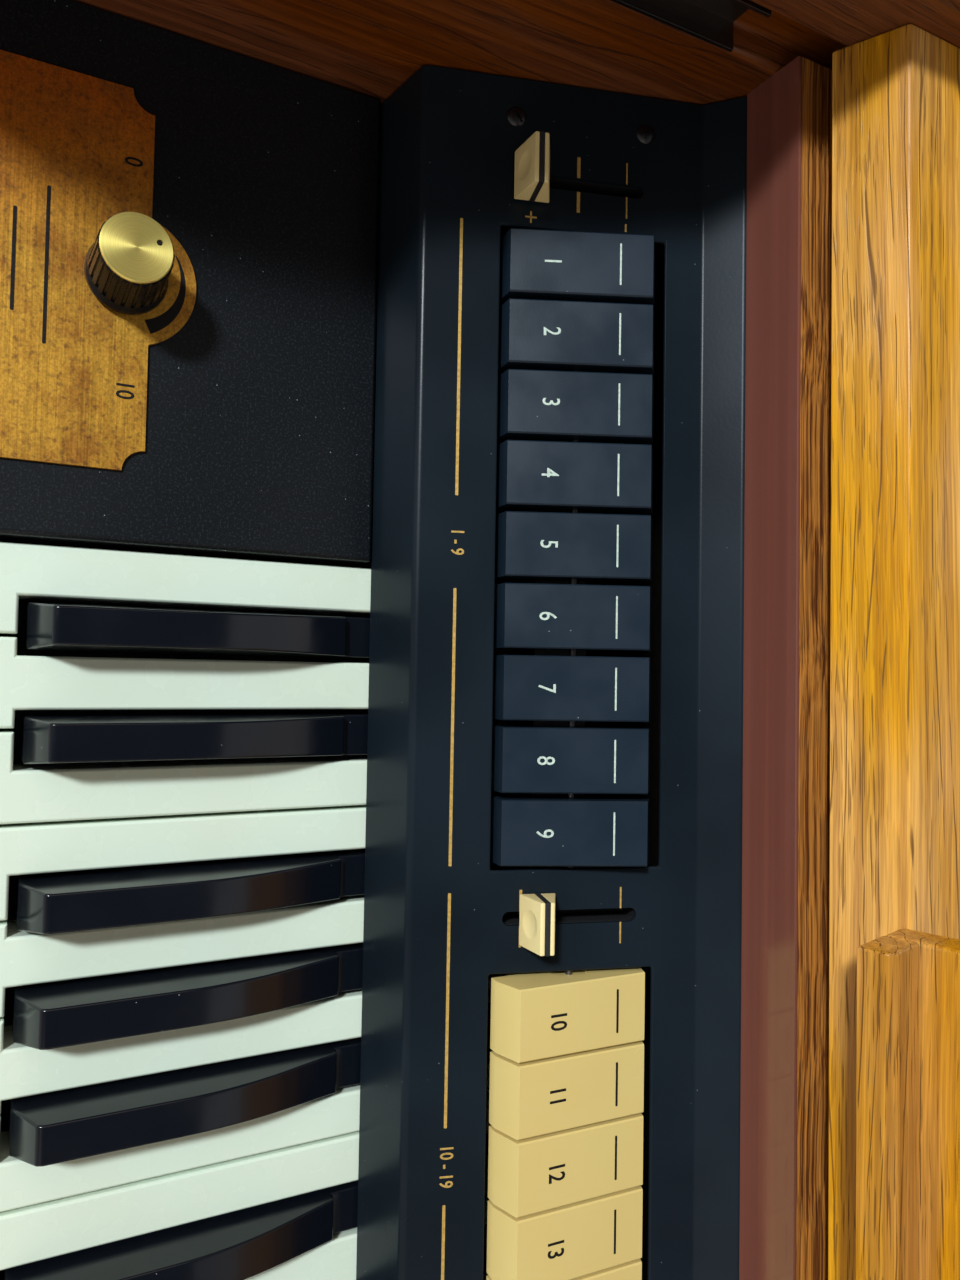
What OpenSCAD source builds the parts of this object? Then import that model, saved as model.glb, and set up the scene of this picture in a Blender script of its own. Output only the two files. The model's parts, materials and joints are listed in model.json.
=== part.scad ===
// Console head of an electronic organ: one full manual, the stop-tab panel behind it,
// the cheek blocks at its ends and the wooden case round them.
// X runs along the keyboard, Y from the player to the back and Z up. The origin is the
// centre of the footprint, on the surface that the case stands on.

/* [Manual] */
// Width of one octave of keys
octave_w = 165; // [158:1:168]
// Octaves in the manual, before the last C
octaves = 4; // [3:1:5]
// Gap between two neighbouring naturals
key_gap = 0.9; // [0.6:0.1:1.4]
// Room between two natural tails, where a sharp stands
sharp_slot = 15; // [14:0.5:15.5]
// Length of a natural's head, in front of the sharps
head_l = 50; // [44:1:54]
// Length of a natural's tail that shows in front of the panel
tail_l = 92.4; // [84:0.4:98]
// Length of key that runs on under the panel's lip
tail_hidden = 8; // [6:1:12]
// Depth of the natural moulding
key_h = 18; // [16:1:22]
// Wall of the hollow key mouldings
key_wall = 1.8; // [1.4:0.1:2.2]
// Bevel along the upper edges of a natural
key_bevel = 0.6; // [0.3:0.1:0.9]
// Height of the naturals' tops above the case's underside
key_top_z = 92; // [84:1:110]

/* [Sharps] */
// Width of a sharp at the level of the naturals
sharp_w = 11.8; // [11:0.2:12.4]
// Width of a sharp at its highest
sharp_top_w = 9.5; // [8.6:0.1:10]
// Height of a sharp above the naturals
sharp_h = 11.7; // [10:0.1:13]
// Distance from the panel's lip to where a sharp's level top ends
sharp_level_end = 52; // [46:1:58]
// Radius of the curve in which a sharp's top falls towards the panel
sharp_fall_r = 100; // [90:1:120]
// Slope in which that curve ends
sharp_fall_deg = 17; // [15:0.5:18]
// Length of the slope at a sharp's nose
sharp_nose = 6; // [4:0.5:9]
// Gap between the notch in a natural and the sharp's nose
sharp_front_gap = 2.1; // [1.2:0.1:3]
// Distance from a sharp's rear edge to the panel's lip
sharp_rear_gap = 7.2; // [6:0.2:10]

/* [Key action] */
// Width of the stem that carries a key back to its pivot
stem_w = 8; // [6:0.5:9]
// Height of the key stem
stem_h = 12; // [10:1:14]
// Distance from the panel's lip back to the key pivots
pivot_y = 75; // [68:1:84]
// Depth of the key pivots below the naturals' tops
pivot_drop = 10; // [9:0.5:11]
// Radius of the rod that the keys turn on
pivot_r = 2; // [1.6:0.1:2.4]
// Running clearance round the pivot rod
pivot_clear = 0.06; // [0.04:0.01:0.1]
// Travel of the naturals' front edge
key_dip = 10; // [8:0.5:11]
// Sheet of the key frame
frame_t = 2; // [1.5:0.5:3]
// Width of the stop rail under the naturals
stop_rail_w = 16; // [12:1:20]

/* [Cheek blocks] */
// Width of a cheek block
cheek_w = 138.5; // [124:0.5:146]
// Gap between a cheek block and the first key
cheek_gap = 1; // [0.6:0.2:2]
// Height of the cheek tops above the naturals
cheek_rise = 4; // [2:0.5:8]
// Wall of the hollow cheek blocks
cheek_wall = 15; // [12:1:18]
// Bevel along the cheek blocks' upper edges
cheek_bevel = 1; // [0.5:0.1:2]

/* [Control plate] */
// Width of the metal plate on the left cheek
plate_w = 100.4; // [94:0.4:102]
// Depth of the metal plate from front to back
plate_l = 84; // [78:1:90]
// Thickness of the metal plate
plate_t = 0.9; // [0.6:0.1:1.2]
// Radius of the scalloped corners
plate_scallop = 5.6; // [4:0.2:8]
// Distance from the plate's right edge to the cheek's right edge
plate_inset = 18.5; // [14:0.5:22]
// Distance from the plate's rear edge to the panel's lip
plate_setback = 64.3; // [60:0.5:68]
// Radius of the round lobe beside the knob
lobe_r = 17.8; // [16:0.2:20]

/* [Knob] */
// Distance from the plate's right edge to the knob's axis
knob_x = 50.4; // [46:0.4:54]
// Distance from the plate's rear edge forward to the knob's axis
knob_y = 6; // [4:0.5:8]
// Radius of the knob's flared foot
knob_foot_r = 10.2; // [9.8:0.1:11]
// Radius of the knob's top rim
knob_top_r = 8.9; // [8.6:0.1:9.4]
// Height of the knob with its disc
knob_h = 18.8; // [16:0.2:22]
// Gap between the knob and the plate
knob_gap = 0.8; // [0.5:0.1:1.2]
// Grip flutes round the knob
knob_flutes = 24; // [18:1:30]
// Radius of the turned disc on the knob
disc_r = 8.5; // [8:0.1:8.5]
// Thickness of the turned disc
disc_t = 0.9; // [0.6:0.1:1.2]
// Direction of the pointer dot at rest, counted from the right, seen from above
pointer_deg = 114; // [90:1:124]
// Radius of the knob's shaft
shaft_r = 3; // [2.5:0.1:3.2]

/* [Stop panel] */
// Sheet of the folded panel
panel_t = 1.5; // [1.2:0.1:2]
// Gap between the naturals' tops and the panel's lip
lip_gap = 1.2; // [0.8:0.1:2]
// Height of the panel's front bend above the naturals
bend_z = 24.9; // [22:0.1:28]
// Backward lean of the lip, as a distance over its height
lip_lean = 3.7; // [2:0.1:6]
// Slope of the panel
panel_slope = 16.7; // [12:0.1:20]
// Length of the panel from its front bend to its rear fold
panel_l = 83.8; // [80:0.2:90]
// Depth of the upstand behind the rear fold
cove_l = 8; // [6:0.5:12]
// Height of the upstand behind the rear fold
cove_h = 9.6; // [8:0.2:13]
// Depth of the flange under the fascia
flange_l = 20; // [14:1:24]
// Radius of the panel's front bend
bend_r = 2.6; // [2.2:0.1:4]

/* [Stop tabs] */
// Distance from one tab to the next
tab_pitch = 20.05; // [19:0.05:21]
// Gap between two black tabs
black_gap = 2; // [1.4:0.1:2.4]
// Gap between two cream tabs
cream_gap = 0.9; // [0.6:0.1:1.2]
// Cream tabs in each group to the right of the black ones
cream_tabs = 10; // [8:1:11]
// Distance from the side wall to the first tab
tabs_inset = 44; // [42:1:48]
// Room between two groups of tabs, where a slider stands
group_gap = 29.4; // [28:0.2:32]
// Distance from the panel's front bend to the tab pivots
tab_pivot_s = 46.5; // [46:0.1:46.8]
// Depth of the tab pivots below the panel's face
tab_pivot_drop = 2.6; // [2.6:0.1:3.2]
// Radius of the wire that the tabs turn on
tab_wire_r = 1; // [0.8:0.1:1]
// Half the length of a tab at the level of its pivot
tab_half_l = 22.6; // [21.5:0.1:22.8]
// Lean of a tab's ends, inward from the pivot's level up
tab_end_deg = 17.6; // [14:0.2:20]
// Height of a black tab's face above its pivot
black_rise = 7; // [6.4:0.1:7.6]
// Tilt of a black tab from the panel, either way
black_tilt = 7.5; // [5:0.1:8]
// Height of a cream tab's face above its pivot
cream_rise = 8.7; // [8:0.1:9.2]
// Tilt of a cream tab from the panel, either way
cream_tilt = 14; // [10:0.1:14.4]
// Radius of the round recess in a cream tab's sides
tab_recess_r = 5.2; // [4:0.1:5.6]
// Wall of the hollow tabs
tab_wall = 1.8; // [1.4:0.1:2.2]
// Bevel along the tabs' upper edges
tab_bevel = 0.4; // [0.2:0.1:0.6]
// Distance from the front bend to the front edge of the tab slots
slot_front = 22.9; // [22:0.1:23]
// Distance from the front bend to the rear edge of the black tabs' slot
black_slot_rear = 72.3; // [71:0.1:74]
// Distance from the front bend to the rear edge of the cream tabs' slots
cream_slot_rear = 70.3; // [70:0.1:73]

/* [Sliders] */
// Distance from the side wall to the end slider
end_slider_inset = 29.5; // [28:0.5:32]
// Distance from a tab group to the slider on its right
slider_offset = 13.8; // [13:0.2:16]
// Distance from the front bend to the front end of the slider slots
slider_front = 26.4; // [25:0.2:28]
// Length of the slider slots
slider_l = 39; // [36:1:42]
// Width of the slider slots
slider_slot_w = 3.9; // [3.6:0.1:4.4]
// Distance from the front bend to the end slider at rest
end_slider_s = 31.4; // [30:0.2:40]
// Distance from the front bend to the volume slider at rest
volume_slider_s = 36.1; // [32:0.2:44]
// Width of a slider cap
cap_w = 14; // [13:0.5:15]
// Length of a slider cap at its foot
cap_l = 10.4; // [10:0.1:12]
// Length of a slider cap's flat top
cap_top_l = 3.9; // [3:0.1:5]
// Height of a slider cap above the panel
cap_h = 12; // [10:0.5:14]
// Gap between a slider cap and the panel
cap_gap = 1; // [0.6:0.1:1.4]
// Thickness of the dark blade through a slider cap
blade_t = 1.4; // [1.2:0.1:1.8]

/* [Case] */
// Depth of the case from front to back
case_depth = 500; // [480:5:520]
// Distance from the case's front to the panel's lip
lip_setback = 170; // [168:1:184]
// Thickness of the side panels
side_t = 32; // [26:1:38]
// Height of the side panels above the naturals
side_rise = 125; // [120:1:140]
// Radius of the side panels' front corners
side_corner_r = 44; // [30:1:60]
// Thickness of the base board
base_t = 18; // [15:1:22]
// Thickness of the back board
back_t = 18; // [12:1:22]
// Thickness of the top board
top_t = 18.2; // [16:0.2:20]
// Backward slant of the top board's front edge
top_slant = 8.7; // [6:0.1:10]
// Height of the slot for the sliding lid
lid_slot_h = 5.4; // [5:0.1:8]
// Distance that the cheeks and the front rail stand back from the side panels' front
front_margin = 4; // [2:1:6]
// Gap between the key fronts and the front rail
key_front_gap = 3.6; // [3:0.2:5]
// Distance from the naturals' tops down to the front rail's top
slip_drop = 6; // [3:1:12]
// Thickness of the fascia board
fascia_t = 12; // [10:1:16]
// Height of the fascia board
fascia_h = 19.8; // [18:0.2:22]
// Thickness of the shelf under the lid slot
shelf_t = 6.4; // [5:0.2:8]
// Thickness of the fascia's upper edge in front of the shelf
fascia_edge = 1.2; // [0.8:0.1:2]
// Distance from the fascia's face back to the top board's lower edge
top_back = 6.2; // [4:0.2:8]

/* [Lid rails] */
// Height of the rails' grooves
rail_h = 15; // [13:0.5:16]
// Distance from the shelf's top down to the grooves' floor
rail_drop = 7.4; // [6:0.2:9]
// Depth of the grooves in the side panels
rail_depth = 8; // [6:0.5:10]
// Sheet of the rails
rail_t = 1.2; // [1:0.1:1.6]
// Distance that the rails' lower edge stands out of the wall
rail_proud = 1; // [0.5:0.1:1.6]
// Distance from the case's front to the rails' front ends
rail_front = 30; // [20:1:40]
// Distance from the panel's lip to the rails' rear ends
rail_rear = 74; // [70:1:80]

/* [Music desk] */
// Width of the music desk
desk_w = 498; // [460:2:520]
// Backward lean of the music desk from upright
desk_lean = 16; // [12:1:20]
// Thickness of the desk's board
desk_t = 11; // [9:1:13]
// Length of the desk's board up its slope
desk_l = 210; // [180:5:240]
// Depth of the ledge that the music stands on
ledge_l = 15; // [13:0.5:18]
// Thickness of the ledge
ledge_t = 8.9; // [8:0.1:11]
// Gap between the desk's foot and the top board's front edge
desk_gap = 0.4; // [0.3:0.1:1]
// Distance that the desk's foot hangs below the top board's face
desk_hang = 1.8; // [1:0.2:4]
// Length of the brackets on the top board
bracket_l = 78; // [60:1:90]
// Height of the brackets up the desk
bracket_h = 120; // [90:5:150]
// Thickness of the brackets
bracket_t = 18; // [12:1:22]
// Distance from the desk's ends to the brackets
bracket_inset = 60; // [40:5:90]

/* [Hidden] */

$fn = 64;
// Overlap between shapes that are cut or joined, so that no two faces coincide
eps = 0.5;
// Straight steps in a rounded fold or corner
arc_steps = 8;

// Keyboard layout
nat_w = octave_w / 7;
lower_tail_w = (3 * nat_w - 2 * sharp_slot) / 3;
upper_tail_w = (4 * nat_w - 3 * sharp_slot) / 4;
manual_w = octaves * octave_w + nat_w;
sharp_depth = 14;
stem_top = 4;
stem_tail = 6;
head_front = -tail_l - head_l;
dip_deg = asin(key_dip / (pivot_y - head_front));
felt_gap = 0.5;
natural_notes = ["c", "d", "e", "f", "g", "a", "b"];
sharp_notes = ["c_sharp", "d_sharp", "f_sharp", "g_sharp", "a_sharp"];

// Case
wall_x = -cheek_gap - cheek_w;
inner_w = manual_w - 2 * wall_x;
lip_y = -case_depth / 2 + lip_setback;
base_top = base_t - key_top_z;
case_rear = case_depth - lip_setback;
front_y = front_margin - lip_setback;
joint_gap = 0.3;

// Panel profile in the plane across the keyboard
fold = [lip_lean + panel_l * cos(panel_slope), bend_z + panel_l * sin(panel_slope)];
cove_top = fold + [cove_l, cove_h];
lip_foot = [lip_lean * lip_gap / bend_z, lip_gap];
panel_path = [lip_foot, [lip_lean, bend_z], fold, cove_top, cove_top + [flange_l, 0]];
panel_radii = [bend_r, 2, 2.2];

// Boards behind the panel
fascia_y = cove_top.x;
fascia_z = cove_top.y;
shelf_z = fascia_z + fascia_h;
top_z = shelf_z + lid_slot_h;
rail_z = shelf_z - rail_drop;

// Tabs and sliders along the panel
black_tabs = 9;
black_start = wall_x + tabs_inset;
black_end = black_start + black_tabs * tab_pitch;
volume_x = black_end + slider_offset;
cream_start = black_end + group_gap;
cream_group_l = cream_tabs * tab_pitch + group_gap;
cream_groups = floor((manual_w - wall_x - cream_start - tabs_inset + group_gap) / cream_group_l);
shown_cream_tabs = 5;
end_slider_x = wall_x + end_slider_inset;
black_w = tab_pitch - black_gap;
cream_w = tab_pitch - cream_gap;
slot_end = 0.5;
carrier_t = 3;
carrier_half = 8;
carrier_drop = 17;
hub_r = 2.6;
wire_clear = 0.05;
tab_web = 2 * hub_r + 1;

// Music desk, in the plane across the keyboard
up_slope = [sin(desk_lean), cos(desk_lean)];
back_slope = [cos(desk_lean), -sin(desk_lean)];
top_edge = [fascia_y + top_back + top_slant, top_z + top_t];
desk_foot = top_edge - [desk_gap + desk_hang * max(tan(desk_lean), top_slant / top_t), desk_hang];
desk_x = (manual_w - desk_w) / 2;

// Shared frames and outlines

module at_manual() {
    translate([-manual_w / 2, lip_y, key_top_z]) children();
}

module at_panel() {
    at_manual() translate([0, lip_lean, bend_z]) rotate([panel_slope, 0, 0]) children();
}

// An outline drawn across the keyboard, stretched along it from x
module across(x, w) {
    translate([x, 0, 0]) rotate([90, 0, 90]) linear_extrude(w) children();
}

module mirrored_ends() {
    children();
    translate([manual_w, 0, 0]) mirror([1, 0, 0]) children();
}

function unit(v) = v / norm(v);
function left_of(v) = [-v.y, v.x];
function turned(v, a) = [v.x * cos(a) - v.y * sin(a), v.x * sin(a) + v.y * cos(a)];
function turn_side(a, b, c) = sign((b - a).x * (c - b).y - (b - a).y * (c - b).x);
function reversed(list) = [for (i = [len(list) - 1:-1:0]) list[i]];

// The arc that rounds the corner at b with radius r
function rounded_corner(a, b, c, r) = let(
    d1 = unit(b - a),
    d2 = unit(c - b),
    turn = acos(d1 * d2),
    side = turn_side(a, b, c),
    start = b - d1 * r * tan(turn / 2),
    spoke = -side * r * left_of(d1)
) [for (i = [0:arc_steps]) start - spoke + turned(spoke, side * turn * i / arc_steps)];

// The corner of a parallel line, t to the right of a, b and c
function right_corner(a, b, c, t) = let(
    n1 = -left_of(unit(b - a)),
    n2 = -left_of(unit(c - b))
) b + t * (n1 + n2) / (1 + n1 * n2);

function rounded_path(path, radii) = concat(
    [path[0]],
    [for (i = [1:len(path) - 2]) each rounded_corner(path[i - 1], path[i], path[i + 1], radii[i - 1])],
    [path[len(path) - 1]]
);

// The outline of a sheet of thickness t whose upper face follows the path
function sheet_outline(path, radii, t) = let(
    last = len(path) - 1,
    under = concat(
        [path[0] - t * left_of(unit(path[1] - path[0]))],
        [for (i = [1:last - 1]) right_corner(path[i - 1], path[i], path[i + 1], t)],
        [path[last] - t * left_of(unit(path[last] - path[last - 1]))]
    ),
    under_radii = [for (i = [1:last - 1])
        radii[i - 1] + t * turn_side(path[i - 1], path[i], path[i + 1])]
) concat(rounded_path(path, radii), reversed(rounded_path(under, under_radii)));

function bevelled_outline(w, h, b) = [[0, 0], [w, 0], [w, h - b], [w - b, h], [b, h], [0, h - b]];

// A block whose upper edges are bevelled on all four sides
module bevelled_block(size, b) {
    intersection() {
        translate([0, size.y, 0]) rotate([90, 0, 0])
            linear_extrude(size.y) polygon(bevelled_outline(size.x, size.z, b));
        across(0, size.x) polygon(bevelled_outline(size.y, size.z, b));
    }
}

// Keys

function tail_left(n) = n < 3 ? n * (lower_tail_w + sharp_slot)
    : 3 * nat_w + (n - 3) * (upper_tail_w + sharp_slot);
function tail_right(n) = tail_left(n) + (n < 3 ? lower_tail_w : upper_tail_w);
// The natural on the left of a sharp, for the five sharps of an octave
function below_sharp(k) = k < 2 ? k : k + 1;
function sharp_x(k) = tail_right(below_sharp(k)) + sharp_slot / 2;

module key_stem(x) {
    difference() {
        translate([x - stem_w / 2, tail_hidden - key_wall, -stem_top - stem_h])
            cube([stem_w, pivot_y + stem_tail - tail_hidden + key_wall, stem_h]);
        translate([x - stem_w, pivot_y, -pivot_drop]) rotate([0, 90, 0])
            cylinder(r = pivot_r + pivot_clear, h = 2 * stem_w);
    }
}

// A natural: n counts from 0 at C, and the last C has a tail of full width
module natural(n, full_tail = false) {
    left = n * nat_w + key_gap / 2;
    right = (n + 1) * nat_w - key_gap / 2;
    tail_a = max(left, tail_left(n));
    tail_b = full_tail ? right : min(right, tail_right(n));
    lap = 3;
    hollow_h = key_h - key_wall;
    color("ivory") {
        difference() {
            union() {
                translate([left, head_front, -key_h])
                    bevelled_block([right - left, head_l, key_h], key_bevel);
                translate([tail_a, -tail_l - lap, -key_h])
                    bevelled_block([tail_b - tail_a, tail_l + lap + tail_hidden, key_h], key_bevel);
            }
            translate([left + key_wall, head_front + key_wall, -key_h - eps])
                cube([right - left - 2 * key_wall, head_l - 2 * key_wall, hollow_h + eps]);
            translate([tail_a + key_wall, -tail_l - lap, -key_h - eps])
                cube([tail_b - tail_a - 2 * key_wall, tail_l + lap + tail_hidden - key_wall,
                    hollow_h + eps]);
        }
        key_stem((tail_a + tail_b) / 2);
    }
}

module sharp(k) {
    nose = -tail_l + sharp_front_gap;
    rear = -sharp_rear_gap;
    base_top_z = -0.3;
    nose_foot = 0.8;
    nose_soft = 0.8;
    fall = [for (i = [0:arc_steps]) let(turn = sharp_fall_deg * i / arc_steps)
        [sharp_fall_r * sin(turn) - sharp_level_end, sharp_h - sharp_fall_r * (1 - cos(turn))]];
    bend = fall[arc_steps];
    rear_top = max(nose_foot, bend.y - (rear - bend.x) * tan(sharp_fall_deg));
    color([0.05, 0.05, 0.07]) translate([sharp_x(k), 0, 0]) {
        difference() {
            intersection() {
                across(-sharp_w, 2 * sharp_w) polygon([
                    [nose, -sharp_depth], [nose, nose_foot],
                    [nose + sharp_nose - nose_soft, sharp_h - nose_soft],
                    [nose + sharp_nose + nose_soft, sharp_h],
                    each fall, [rear, rear_top], [rear, base_top_z],
                    [tail_hidden, base_top_z], [tail_hidden, -sharp_depth]
                ]);
                translate([0, tail_hidden, 0]) rotate([90, 0, 0]) linear_extrude(tail_hidden - nose)
                    polygon([
                        [-sharp_w / 2, -sharp_depth], [sharp_w / 2, -sharp_depth], [sharp_w / 2, 0],
                        [sharp_top_w / 2, sharp_h], [-sharp_top_w / 2, sharp_h], [-sharp_w / 2, 0]
                    ]);
            }
            translate([-sharp_w / 2 + key_wall, nose + key_wall, -sharp_depth - eps])
                cube([sharp_w - 2 * key_wall, tail_hidden - nose - 2 * key_wall,
                    sharp_depth - 2 * key_wall + eps]);
        }
        key_stem(0);
    }
}

module upper_naturals() {
    for (octave = [1:octaves - 1], n = [0:6])
        if (octave > 1 || n > 1)
            at_manual() translate([octave * octave_w, 0, 0]) natural(n);
    at_manual() translate([octaves * octave_w, 0, 0]) natural(0, full_tail = true);
}

module upper_sharps() {
    for (octave = [1:octaves - 1], k = [0:4])
        if (octave > 1 || k > 0)
            at_manual() translate([octave * octave_w, 0, 0]) sharp(k);
}

// The sheet under the keys, with lugs that carry the rod that they turn on
module key_frame() {
    lug_t = 2.5;
    lug_w = 14;
    front_back = 14;
    frame_front = head_front + front_back;
    color("lightgray") at_manual() {
        translate([-cheek_gap, frame_front, base_top])
            cube([manual_w + 2 * cheek_gap, pivot_y + lug_w - frame_front, frame_t]);
        for (x = concat([for (k = [0:octaves]) k * octave_w], [manual_w]))
            translate([x - lug_t / 2, pivot_y - lug_w / 2, base_top])
                cube([lug_t, lug_w, -pivot_drop + lug_w / 2 - base_top]);
        translate([-lug_t, pivot_y, -pivot_drop]) rotate([0, 90, 0])
            cylinder(r = pivot_r, h = manual_w + 2 * lug_t);
    }
}

// The batten that stops the keys
module key_stop_rail() {
    rail_y = -tail_l - stop_rail_w;
    rail_foot = base_top + frame_t;
    rail_top = -key_h - (pivot_y - rail_y) * sin(dip_deg) - felt_gap;
    color("peru") at_manual() translate([-cheek_gap, rail_y, rail_foot])
        cube([manual_w + 2 * cheek_gap, stop_rail_w, rail_top - rail_foot]);
}

// Case boards

module base_board() {
    color("saddlebrown") at_manual() translate([wall_x, front_y, -key_top_z])
        cube([inner_w, case_rear - back_t - front_y, base_t]);
}

module back_board() {
    color("saddlebrown") at_manual() translate([wall_x, case_rear - back_t, -key_top_z])
        cube([inner_w, back_t, top_z + key_top_z]);
}

module side_outline() {
    front = -lip_setback;
    r = side_corner_r;
    centre = [front + r, side_rise - r];
    polygon(concat(
        [[case_rear, -key_top_z], [case_rear, side_rise]],
        [for (i = [0:arc_steps * 2])
            centre + r * [cos(90 + 90 * i / (arc_steps * 2)), sin(90 + 90 * i / (arc_steps * 2))]],
        [[front, -key_top_z]]
    ));
}

module side_panel() {
    groove_front = rail_front - lip_setback;
    color("sienna") difference() {
        across(wall_x - side_t, side_t) side_outline();
        translate([wall_x - rail_depth, groove_front, rail_z])
            cube([rail_depth + eps, case_rear - back_t - groove_front, rail_h]);
    }
}

module side_panel_left() {
    at_manual() side_panel();
}

module side_panel_right() {
    at_manual() translate([manual_w, 0, 0]) mirror([1, 0, 0]) side_panel();
}

module top_board() {
    y = fascia_y + top_back;
    color("goldenrod") at_manual() across(wall_x, inner_w) polygon([
        [y, top_z], [y + top_slant, top_z + top_t], [case_rear, top_z + top_t], [case_rear, top_z]
    ]);
}

module lid_shelf() {
    color("peru") at_manual() translate([wall_x, fascia_y + fascia_edge, shelf_z - shelf_t])
        cube([inner_w, case_rear - back_t - fascia_y - fascia_edge, shelf_t]);
}

module fascia_board() {
    color([0.3, 0.12, 0.1]) at_manual() across(wall_x, inner_w) polygon([
        [fascia_y, fascia_z], [fascia_y, fascia_z + fascia_h],
        [fascia_y + fascia_edge, fascia_z + fascia_h],
        [fascia_y + fascia_edge, shelf_z - shelf_t], [fascia_y + fascia_t, shelf_z - shelf_t],
        [fascia_y + fascia_t, fascia_z]
    ]);
}

module front_rail() {
    rear = head_front - key_front_gap;
    color("saddlebrown") at_manual() translate([-cheek_gap, front_y, base_top])
        bevelled_block([manual_w + 2 * cheek_gap, rear - front_y, -slip_drop - base_top], cheek_bevel);
}

module lid_rails() {
    foot = rail_depth + rail_proud;
    color("silver") at_manual() mirrored_ends()
        translate([wall_x - rail_depth, rail_rear, rail_z]) rotate([90, 0, 0])
            linear_extrude(rail_rear + lip_setback - rail_front) polygon([
                [0, 0], [foot, 0], [foot, rail_t], [rail_t, rail_t], [rail_t, rail_h - rail_t],
                [rail_depth, rail_h - rail_t], [rail_depth, rail_h], [0, rail_h]
            ]);
}

// Cheek blocks and what stands on the left one

knob_at = [-cheek_gap - plate_inset - knob_x, -plate_setback - knob_y];
plate_top = cheek_rise + plate_t;
bush_r = 4.6;
bush_clear = 0.1;
housing_r = 8;
housing_h = 9;

module cheek_block() {
    l = -joint_gap - front_y;
    h = cheek_rise - base_top;
    color([0.08, 0.08, 0.09]) translate([wall_x, front_y, base_top]) difference() {
        bevelled_block([cheek_w, l, h], cheek_bevel);
        translate([cheek_wall, cheek_wall, -eps])
            cube([cheek_w - 2 * cheek_wall, l - 2 * cheek_wall, h - cheek_wall + eps]);
    }
}

module cheek_block_left() {
    at_manual() difference() {
        cheek_block();
        translate([knob_at.x, knob_at.y, cheek_rise - cheek_wall - eps])
            cylinder(r = bush_r + bush_clear, h = cheek_wall + 2 * eps);
    }
}

module cheek_block_right() {
    at_manual() translate([manual_w, 0, 0]) mirror([1, 0, 0]) cheek_block();
}

module plate_outline() {
    right = -cheek_gap - plate_inset;
    rear = -plate_setback;
    difference() {
        union() {
            translate([right - plate_w, rear - plate_l]) square([plate_w, plate_l]);
            translate(knob_at) circle(r = lobe_r);
        }
        for (x = [right - plate_w, right], y = [rear - plate_l, rear])
            translate([x, y]) circle(r = plate_scallop);
        translate(knob_at) circle(r = bush_r + bush_clear);
    }
}

module control_plate() {
    color([0.72, 0.42, 0.18]) at_manual() translate([0, 0, cheek_rise])
        linear_extrude(plate_t) plate_outline();
}

// The rotary control under the cheek top, whose bush comes up through the plate
module knob_housing() {
    color("silver") at_manual() translate([knob_at.x, knob_at.y, 0]) difference() {
        union() {
            translate([0, 0, cheek_rise - cheek_wall])
                cylinder(r = bush_r, h = cheek_wall + plate_t);
            translate([0, 0, cheek_rise - cheek_wall - housing_h])
                cylinder(r = housing_r, h = housing_h);
        }
        translate([0, 0, cheek_rise - cheek_wall - housing_h / 2])
            cylinder(r = shaft_r + pivot_clear, h = cheek_wall + plate_t + housing_h);
    }
}

module knob_skirt() {
    rim_z = knob_h - disc_t;
    foot_h = 1.4;
    waist_h = 3.2;
    waist_r = knob_top_r + 0.5;
    flute_r = 0.55;
    shaft_l = knob_gap + plate_t + cheek_wall;
    color([0.06, 0.06, 0.06]) at_manual()
        translate([knob_at.x, knob_at.y, plate_top + knob_gap]) {
            difference() {
                rotate_extrude() polygon([
                    [0, 0], [knob_foot_r - 0.3, 0], [knob_foot_r, 0.4], [knob_foot_r, foot_h],
                    [waist_r, waist_h], [knob_top_r, rim_z - 0.4], [knob_top_r - 0.3, rim_z],
                    [0, rim_z]
                ]);
                for (i = [0:knob_flutes - 1])
                    rotate([0, 0, (i + 0.5) * 360 / knob_flutes]) translate([waist_r + 0.1, 0, waist_h])
                        rotate([0, -atan((waist_r - knob_top_r) / (rim_z - waist_h)), 0])
                            cylinder(r = flute_r, h = rim_z, $fn = 16);
            }
            translate([0, 0, -shaft_l]) cylinder(r = shaft_r, h = shaft_l + eps);
        }
}

module knob_disc() {
    dot_at = 5.6;
    dot_r = 0.75;
    color([0.85, 0.78, 0.5]) at_manual()
        translate([knob_at.x, knob_at.y, plate_top + knob_gap + knob_h - disc_t]) difference() {
            rotate_extrude() polygon([
                [0, 0], [disc_r, 0], [disc_r, disc_t - 0.25], [disc_r - 0.25, disc_t], [0, disc_t]
            ]);
            rotate([0, 0, pointer_deg]) translate([dot_at, 0, disc_t / 2])
                cylinder(r = dot_r, h = disc_t);
        }
}

// Stop panel

function group_start(g) = cream_start + g * cream_group_l;

module tab_slot(start, count, slot_rear) {
    translate([start - slot_end, slot_front, -2 * panel_t])
        cube([count * tab_pitch + 2 * slot_end, slot_rear - slot_front, 4 * panel_t]);
}

module slider_slot(x) {
    r = slider_slot_w / 2;
    translate([x, 0, -2 * panel_t]) {
        for (s = [slider_front + r, slider_front + slider_l - r])
            translate([0, s, 0]) cylinder(r = r, h = 4 * panel_t);
        translate([-r, slider_front + r, 0]) cube([2 * r, slider_l - 2 * r, 4 * panel_t]);
    }
}

module stop_panel() {
    color([0.1, 0.11, 0.13]) difference() {
        at_manual() across(wall_x + joint_gap, inner_w - 2 * joint_gap)
            polygon(sheet_outline(panel_path, panel_radii, panel_t));
        at_panel() {
            tab_slot(black_start, black_tabs, black_slot_rear);
            slider_slot(end_slider_x);
            slider_slot(volume_x);
            for (g = [0:cream_groups - 1]) tab_slot(group_start(g), cream_tabs, cream_slot_rear);
            for (g = [1:cream_groups - 1]) slider_slot(group_start(g) - group_gap + slider_offset);
        }
    }
}

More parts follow.
